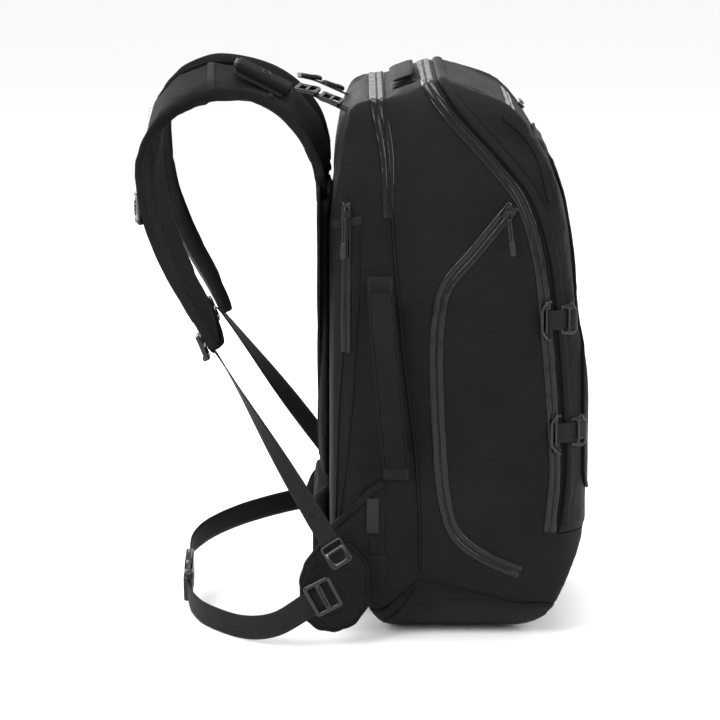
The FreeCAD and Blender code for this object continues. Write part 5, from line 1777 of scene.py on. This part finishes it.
wing = puffed("hip_wing_left_pad", "hip_wing_left", voxel=3.4, cap=3.2, shrink=0.2, smooth=14)
far_wing = mirror_mesh(wing, "hip_wing_right_pad")
for pad, node, side in ((wing, "hip_wing_left", NEAR), (far_wing, "hip_wing_right", FAR)):
    pad.data.materials.clear()
    for finish in ("strap", "mesh"):
        pad.data.materials.append(FINISH[finish])
    for face in pad.data.polygons:
        face.material_index = int(face.normal.dot(Vector((-0.4, side, 0))) < -0.4)
    dress(pad, "pack", None, "strap_fabric", node)
wing_tree = tree_of(wing)
WING_RIM = rounded_outline([(-79, 86), (-79, 42), (-96, 22), (-114, 16), (-131, 19), (-146, 33), (-152, 45),
                            (-152, 76),
                            (-146, 91), (-131, 109), (-114, 114), (-96, 106)], 14)


def on_wing(rows, closed=False, lift=0.0):
    """A side-view line shot at the wing's outer face, pulled in until it hits."""
    centre = Vector((-115, 64))
    points, outs = [], []
    for row in rows:
        row = Vector(row)
        for pull in (1.0, 0.97, 0.94, 0.90, 0.86):
            x, z = centre + (row - centre) * pull
            hit = wing_tree.ray_cast(Vector((x * MM, -WIDE, z * MM)), Vector((0, 1, 0)))
            if hit[0] and hit[1].y < -0.1:
                points.append(hit[0] + hit[1] * lift)
                outs.append(hit[1])
                break
    return points, outs


def wing_trim():
    made = []
    rim_points, rim_outs = on_wing(WING_RIM + WING_RIM[:1])
    path = even(rim_points, 0.003)
    track = KDTree(len(rim_points))
    for i, p in enumerate(rim_points):
        track.insert(p, i)
    track.balance()
    made.append(cord("rim", path, 2.3 * MM, outs=[rim_outs[track.find(p)[1]] for p in path], flat=0.8))
    for rows in ([(-84, 70), (-100, 82), (-120, 90), (-146, 84)],
                 [(-84, 58), (-100, 44), (-120, 36), (-146, 44)]):
        dense = [(p.x / MM, p.z / MM) for p in side_view(rows)]
        points, outs = on_wing(dense)
        made.append(cord("seam", points, 0.9 * MM, outs=outs, flat=0.6))
    return join("wing_trim", made)


dress(both("hip_wing_bindings", wing_trim), "pack", "binding", "strap_fabric")
print("pads: back, lumbar, two wings, quilted cover")

# %% [markdown]
# The hip belt and the sternum strap are webbing swept along a smooth line whose
# width direction turns from row to row, with a moulded buckle in the middle.

# %% Hip belt and sternum strap


def turned(rows, step=0.004):
    """Centre line and outward directions from rows of (point, width direction)."""
    points = spline([Vector(p) for p, _ in rows], step)
    key_spots, key_sides = [Vector(p) for p, _ in rows], [Vector(w).normalized() for _, w in rows]
    outs = []
    for place, along in zip(points, tangents(points)):
        order = sorted(range(len(rows)), key=lambda k: (key_spots[k] - place).length)[:2]
        near, far = [(key_spots[k] - place).length for k in order]
        side = key_sides[order[0]].lerp(key_sides[order[1]], near / (near + far + 1e-9))
        outs.append(side.cross(along).normalized())
    return points, outs


HIP_TILT = math.radians(18)
HIP_ALONG = Vector((0, math.cos(HIP_TILT), math.sin(HIP_TILT)))
HIP_WIDE = Vector((0, -math.sin(HIP_TILT), math.cos(HIP_TILT)))
HIP_ORIGIN = Vector((-0.2715, -0.005, 0.032))
NEAR_BELT = [(-126, -204, 62, 0.4), (-148, -202, 46, 0.35), (-171, -191, 29, 0.2), (-192, -173, 19, 0.1),
             (-213, -151, 14, 0), (-235, -125, 13.3, 0), (-254, -95, 13.6, 0), (-266, -66, 17, 0)]
FAR_BELT = [(-262, 72, 54), (-246, 100, 58), (-222, 132, 61), (-195, 160, 63), (-165, 188, 64),
            (-148, 202, 63),
            (-126, 204, 62)]
near_rows = [(Vector(r[:3]) * MM,
              Vector((r[3], 0, 1))) for r in NEAR_BELT] + [(HIP_ORIGIN - HIP_ALONG * 0.036, HIP_WIDE)]
far_rows = [(HIP_ORIGIN + HIP_ALONG * 0.0195, HIP_WIDE), (HIP_ORIGIN + HIP_ALONG * 0.052, HIP_WIDE)]
far_rows += [(Vector(r) * MM, UP) for r in FAR_BELT]
belt = []
for rows in (near_rows, far_rows):
    points, outs = turned(rows)
    if outs[len(outs) // 2].x > 0:
        outs = [-o for o in outs]
    belt.append(strip("belt", points, outs, 24.6 * MM, 1.6 * MM, rise=-0.8 * MM))
dress(join("hip_belt_webbing", belt), "hip_belt", "web25", "webbing", "hip_webbing")
lock_boxes = solid_boxes("hip_ladder_locks")
for number, (low, high) in enumerate(lock_boxes):
    centre = (low + high) / 2
    side = -1 if centre.y < 0 else 1
    along = Vector((0.88, 0, 0.47)) if side < 0 else Vector((1, 0, 0))
    at = facing(centre, along, (-0.05, side, 0))
    lock = ladder("hip_lock", 30, 34, 5.0, at, bars=(4.2, 5.0), radius=4.5, edge=1.4)
    lip = pillow_box("hip_lip", (0.006, 0.024, 0.0034), 0.0012, at, (0.0, 0, 0.0008))
    dress(join(f"hip_lock_{number}", [lock, lip]), "pack", "plastic", "hardware",
          *(["hip_ladder_locks"] if number == 0 else []))


def buckle(share, matrix):
    """The two halves of a side-release buckle; X runs along the strap."""
    k = share * MM
    shell = rounded_outline([(-35, -14), (-35, 14), (-30, 17), (-19, 17), (-17, 12.5), (-6, 12.5), (-2, 17),
                             (-1, 17),
                             (-1, -17), (-2, -17), (-6, -12.5), (-17, -12.5), (-19, -17), (-30, -17)], 2.2)
    slot = list(reversed(box_outline(3.2, 25, 1.0, (-31.0, 0))))
    female = [plate("female", [[Vector(p) * k for p in o] for o in (shell, slot)], 9 * k, 2.0 * k, matrix)]
    for x in (-26.5, -23.5, -20.5):
        female.append(pillow_box("rib", (1.3 * k, 18 * k, 1.0 * k), 0.4 * k, matrix, (x * k, 0, 4.6 * k)))
    female.append(pillow_box("window", (9 * k, 9 * k, 0.6 * k), 0.25 * k, matrix, (-11 * k, 0, 4.5 * k)))
    base = rounded_outline([(-0.4, -17), (-0.4, 17), (20, 17), (23.8, 13), (23.8, -13), (20, -17)], 2.2)
    male = [pillow_box("nose", (2.0 * k, 31 * k, 8.4 * k), 0.8 * k, matrix, (0.7 * k, 0, 0))]
    for side in (-1, 1):
        floor_at = matrix @ Matrix.Translation((0, 0, side * 3.0 * k))
        male.append(plate("shell", [[Vector(p) * k for p in base]], 2.8 * k, 1.1 * k, floor_at))
        male.append(pillow_box("wall", (21 * k, 2.4 * k, 6.6 * k), 0.8 * k, matrix,
                               (10.5 * k, side * 15.4 * k, 0)))
        prong = rounded_outline([(-0.4, side * 12.6), (-0.4, side * 16.6), (-10, side * 17),
                                 (-17.0, side * 15.2),
                                 (-17.0, side * 12.9), (-8, side * 13.2)][::side], 1.0)
        male.append(plate("prong", [[Vector(p) * k for p in prong]], 6.4 * k, 1.2 * k, matrix))
    male.append(pillow_box("tongue", (14 * k, 8 * k, 3.4 * k), 0.8 * k, matrix, (-6.5 * k, 0, 0)))
    for x in (3.0, 5.4):
        male.append(pillow_box("rib", (1.2 * k, 20 * k, 0.9 * k), 0.35 * k, matrix, (x * k, 0, 4.4 * k)))
    return join("female", female), join("male", male)


hip_at = facing(HIP_ORIGIN, HIP_ALONG, (-1, 0, 0))
female, male = buckle(1.0, hip_at)
dress(female, "hip_belt", "plastic", "hardware", "hip_buckle_female").name = "hip_female_half"
dress(male, "hip_male", "plastic", "hardware", "hip_buckle_male").name = "hip_male_half"
clip_low, clip_high = solid_boxes("sternum_buckle_female")[0]
STERNUM_ORIGIN = Vector(((clip_low.x + clip_high.x) / 2, 0, (clip_low.z + clip_high.z) / 2))
female, male = buckle(0.72, facing(STERNUM_ORIGIN, (0, 1, 0), (-1, 0, 0)))
dress(female, "sternum", "plastic", "hardware", "sternum_buckle_female").name = "sternum_female_half"
dress(male, "sternum_male", "plastic", "hardware", "sternum_buckle_male").name = "sternum_male_half"
webs = []
for low, high in solid_boxes("sternum_webbing"):
    mid = (low + high) / 2
    points = even([Vector((mid.x, low.y - 0.004, mid.z)), Vector((mid.x, high.y + 0.004, mid.z))], 0.004)
    webs.append(strip("sternum", points, [Vector((-1, 0, 0))] * len(points), 15.8 * MM, 1.5 * MM,
                      rise=-0.75 * MM))
dress(join("sternum_strap", webs), "sternum", "web20", "webbing", "sternum_webbing")
clip_boxes = solid_boxes("sternum_sliders")
CLIP_OUT = Vector((-0.94, -0.30, -0.14)).normalized()


def sternum_clip():
    low, high = clip_boxes[0]
    at = facing((low + high) / 2, (0, 0, 1), CLIP_OUT)
    made = [pillow_box("clip", (0.033, 0.0165, 0.0042), 0.0016, at)]
    for x in (-13.5, 13.5):
        made.append(pillow_box("jaw", (0.0055, 0.0168, 0.0064), 0.0018, at, (x * MM, 0, -0.0006)))
    for x in (-4, 0, 4):
        made.append(pillow_box("rib", (0.0013, 0.012, 0.0010), 0.0004, at, (x * MM, 0, 0.0023)))
    return join("clip", made)


dress(both("sternum_clips", sternum_clip), "sternum", "plastic", "hardware", "sternum_sliders")


def sternum_rail():
    points, outs = strap_line(0.0, 0.5, first=8, last=13)
    low, high = solid_boxes("sternum_rails")[0]
    keep = [i for i, p in enumerate(points) if low.z < p.z < high.z]
    points, outs = on_strap(([points[i] for i in keep], [outs[i] for i in keep]))
    return strip("rail", points, outs, 9.5 * MM, 1.2 * MM, crown=1.0 * MM, rise=0.1 * MM)


dress(both("sternum_rail_tapes", sternum_rail), "pack", "binding", "webbing", "sternum_rails")
print("hip belt and sternum strap done")

# %% [markdown]
# Each zip has a die-cast slider that rides on the coil and a pull: a metal tab,
# a short cord and a rubber grip.  The slide joint's axis gives the direction along
# the zip, and the swing joint's axis gives the way the slider looks.

# %% Zip sliders and pulls


def slider_on(label, slide, swing, slider_node, pull_node, slider_body, pull_body):
    low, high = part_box(slider_node)
    along = Vector(joints[slide]["axis"])
    out = Vector(joints[swing]["axis"])
    centre = (low + high) / 2
    at = facing(centre, along, out)
    leaf = rounded_outline([(-7, -4.0), (-3, -4.8), (5, -3.4), (7, -1.5), (7, 1.5), (5, 3.4), (-3, 4.8),
                            (-7, 4.0)], 1.6)
    base = plate("slider", [[Vector(p) * MM for p in leaf]], 2.0 * MM, 0.7 * MM,
                 at @ Matrix.Translation((0, 0, -2.0 * MM)))
    bridge = [at @ Vector((x * MM, 0, z * MM)) for x,
              z in ((-4.5, -1.2), (-3.5, 1.0), (0, 1.9), (3.5, 1.0), (4.5, -1.2))]
    parts = [base, cord("bridge", spline(bridge, 0.001), 1.1 * MM, outs=None)]
    dress(join(f"{label}_slider_metal", parts), slider_body, "metal", "zip_metal", slider_node)
    low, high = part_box(pull_node)
    middle = (low + high) / 2
    hang = (middle - centre)
    hang = (hang - out * hang.dot(out)).normalized()
    reach = max((Vector((low.x, low.y, low.z)) - centre).dot(hang), (high - centre).dot(hang),
                (Vector((middle.x, middle.y, low.z)) - centre).dot(hang))
    top = centre + out * (middle - centre).dot(out)
    ring, ring_outs = loop_on(facing(top + hang * 2.6 * MM, hang, out), 0.0085, 0.0058, 0.0)
    dress(cord(f"{label}_ring", ring, 0.75 * MM, closed=True, outs=ring_outs), pull_body, "metal",
          "zip_metal", pull_node)
    side = out.cross(hang)
    cord_parts = []
    for sign in (-1, 1):
        knot = [top + hang * t * MM + side * sign * w * MM for t,
                w in ((6.0, 0.4), (9.0, 1.3), (reach / MM * 0.62, 1.2),
                                                                      (reach / MM * 0.68, 0.9))]
        cord_parts.append(cord("loop", spline(knot, 0.002), 0.95 * MM, outs=None))
    dress(join(f"{label}_cord", cord_parts), pull_body, "pull", "pull_cord")
    grip_at = facing(top + hang * (reach * 0.82), hang, out)
    grip = pillow_box(f"{label}_grip", (reach * 0.36, 0.0056, 0.0034), 0.0014, grip_at)
    ribs = [pillow_box("rib", (0.0009, 0.0058, 0.0038), 0.0003, grip_at, (x * MM, 0, 0)) for x in (-4, -2, 0,
                                                                                                   2, 4)]
    dress(join(f"{label}_grip", [grip, *ribs]), pull_body, "pull", "pull_cord")


for label in ("side", "top", "main", "harness"):
    slider_on(label, f"{label}_zip_slide", f"{label}_pull_swing", f"{label}_zip_slider", f"{label}_zip_pull",
              f"{label}_zip", f"{label}_pull")
low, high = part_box("front_pocket_slider")
centre = (low + high) / 2
ZIP_OUT = Vector((0.62, 0, 0.78)).normalized()
at = facing(Vector((centre.x, low.y + 0.007, centre.z)), (0, 1, 0), ZIP_OUT)
leaf = rounded_outline([(-7, -4.6), (5, -3.4), (7, -1.5), (7, 1.5), (5, 3.4), (-7, 4.6)], 1.6)
body = plate("slider", [[Vector(p) * MM for p in leaf]], 2.6 * MM, 0.8 * MM, at)
tab = pillow_box("tab", (0.026, 0.0052, 0.0018), 0.0007, at, (0.015, 0, 0.0026))
dress(join("front_pocket_slider_metal", [body, tab]), "front_zip", "metal", "zip_metal",
      "front_pocket_slider")

print("sliders 5, hanging pulls 4")

# %% [markdown]
# The inflation system sits inside.  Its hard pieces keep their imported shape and
# only get better finishes; the folded airbag is soft, so it's swollen like a pad.

# %% Inside the bag
airbag = puffed("airbag_folded", "airbag", voxel=4.5, cap=4.0, shrink=2.0, smooth=6)
dress(airbag, "pack", "airbag", "airbag_nylon", "airbag")
KEPT = {"frame_sheet": "sheet", "frame_stays": "alloy", "gas_canister": "alloy", "inflator_valve": "valve",
        "canister_strap": "web20", "trigger_cable": "cable", "trigger_handle": "pull"}
for node, finish in KEPT.items():
    for place in frame["nodes"][node].material_slots:
        place.link = "OBJECT"
        place.material = FINISH[finish]
hidden = {n for o in bpy.data.objects for n in o.get("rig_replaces", [])}
print("kept", sorted(set(frame["nodes"]) - hidden))
bpy.data.objects.remove(bag)
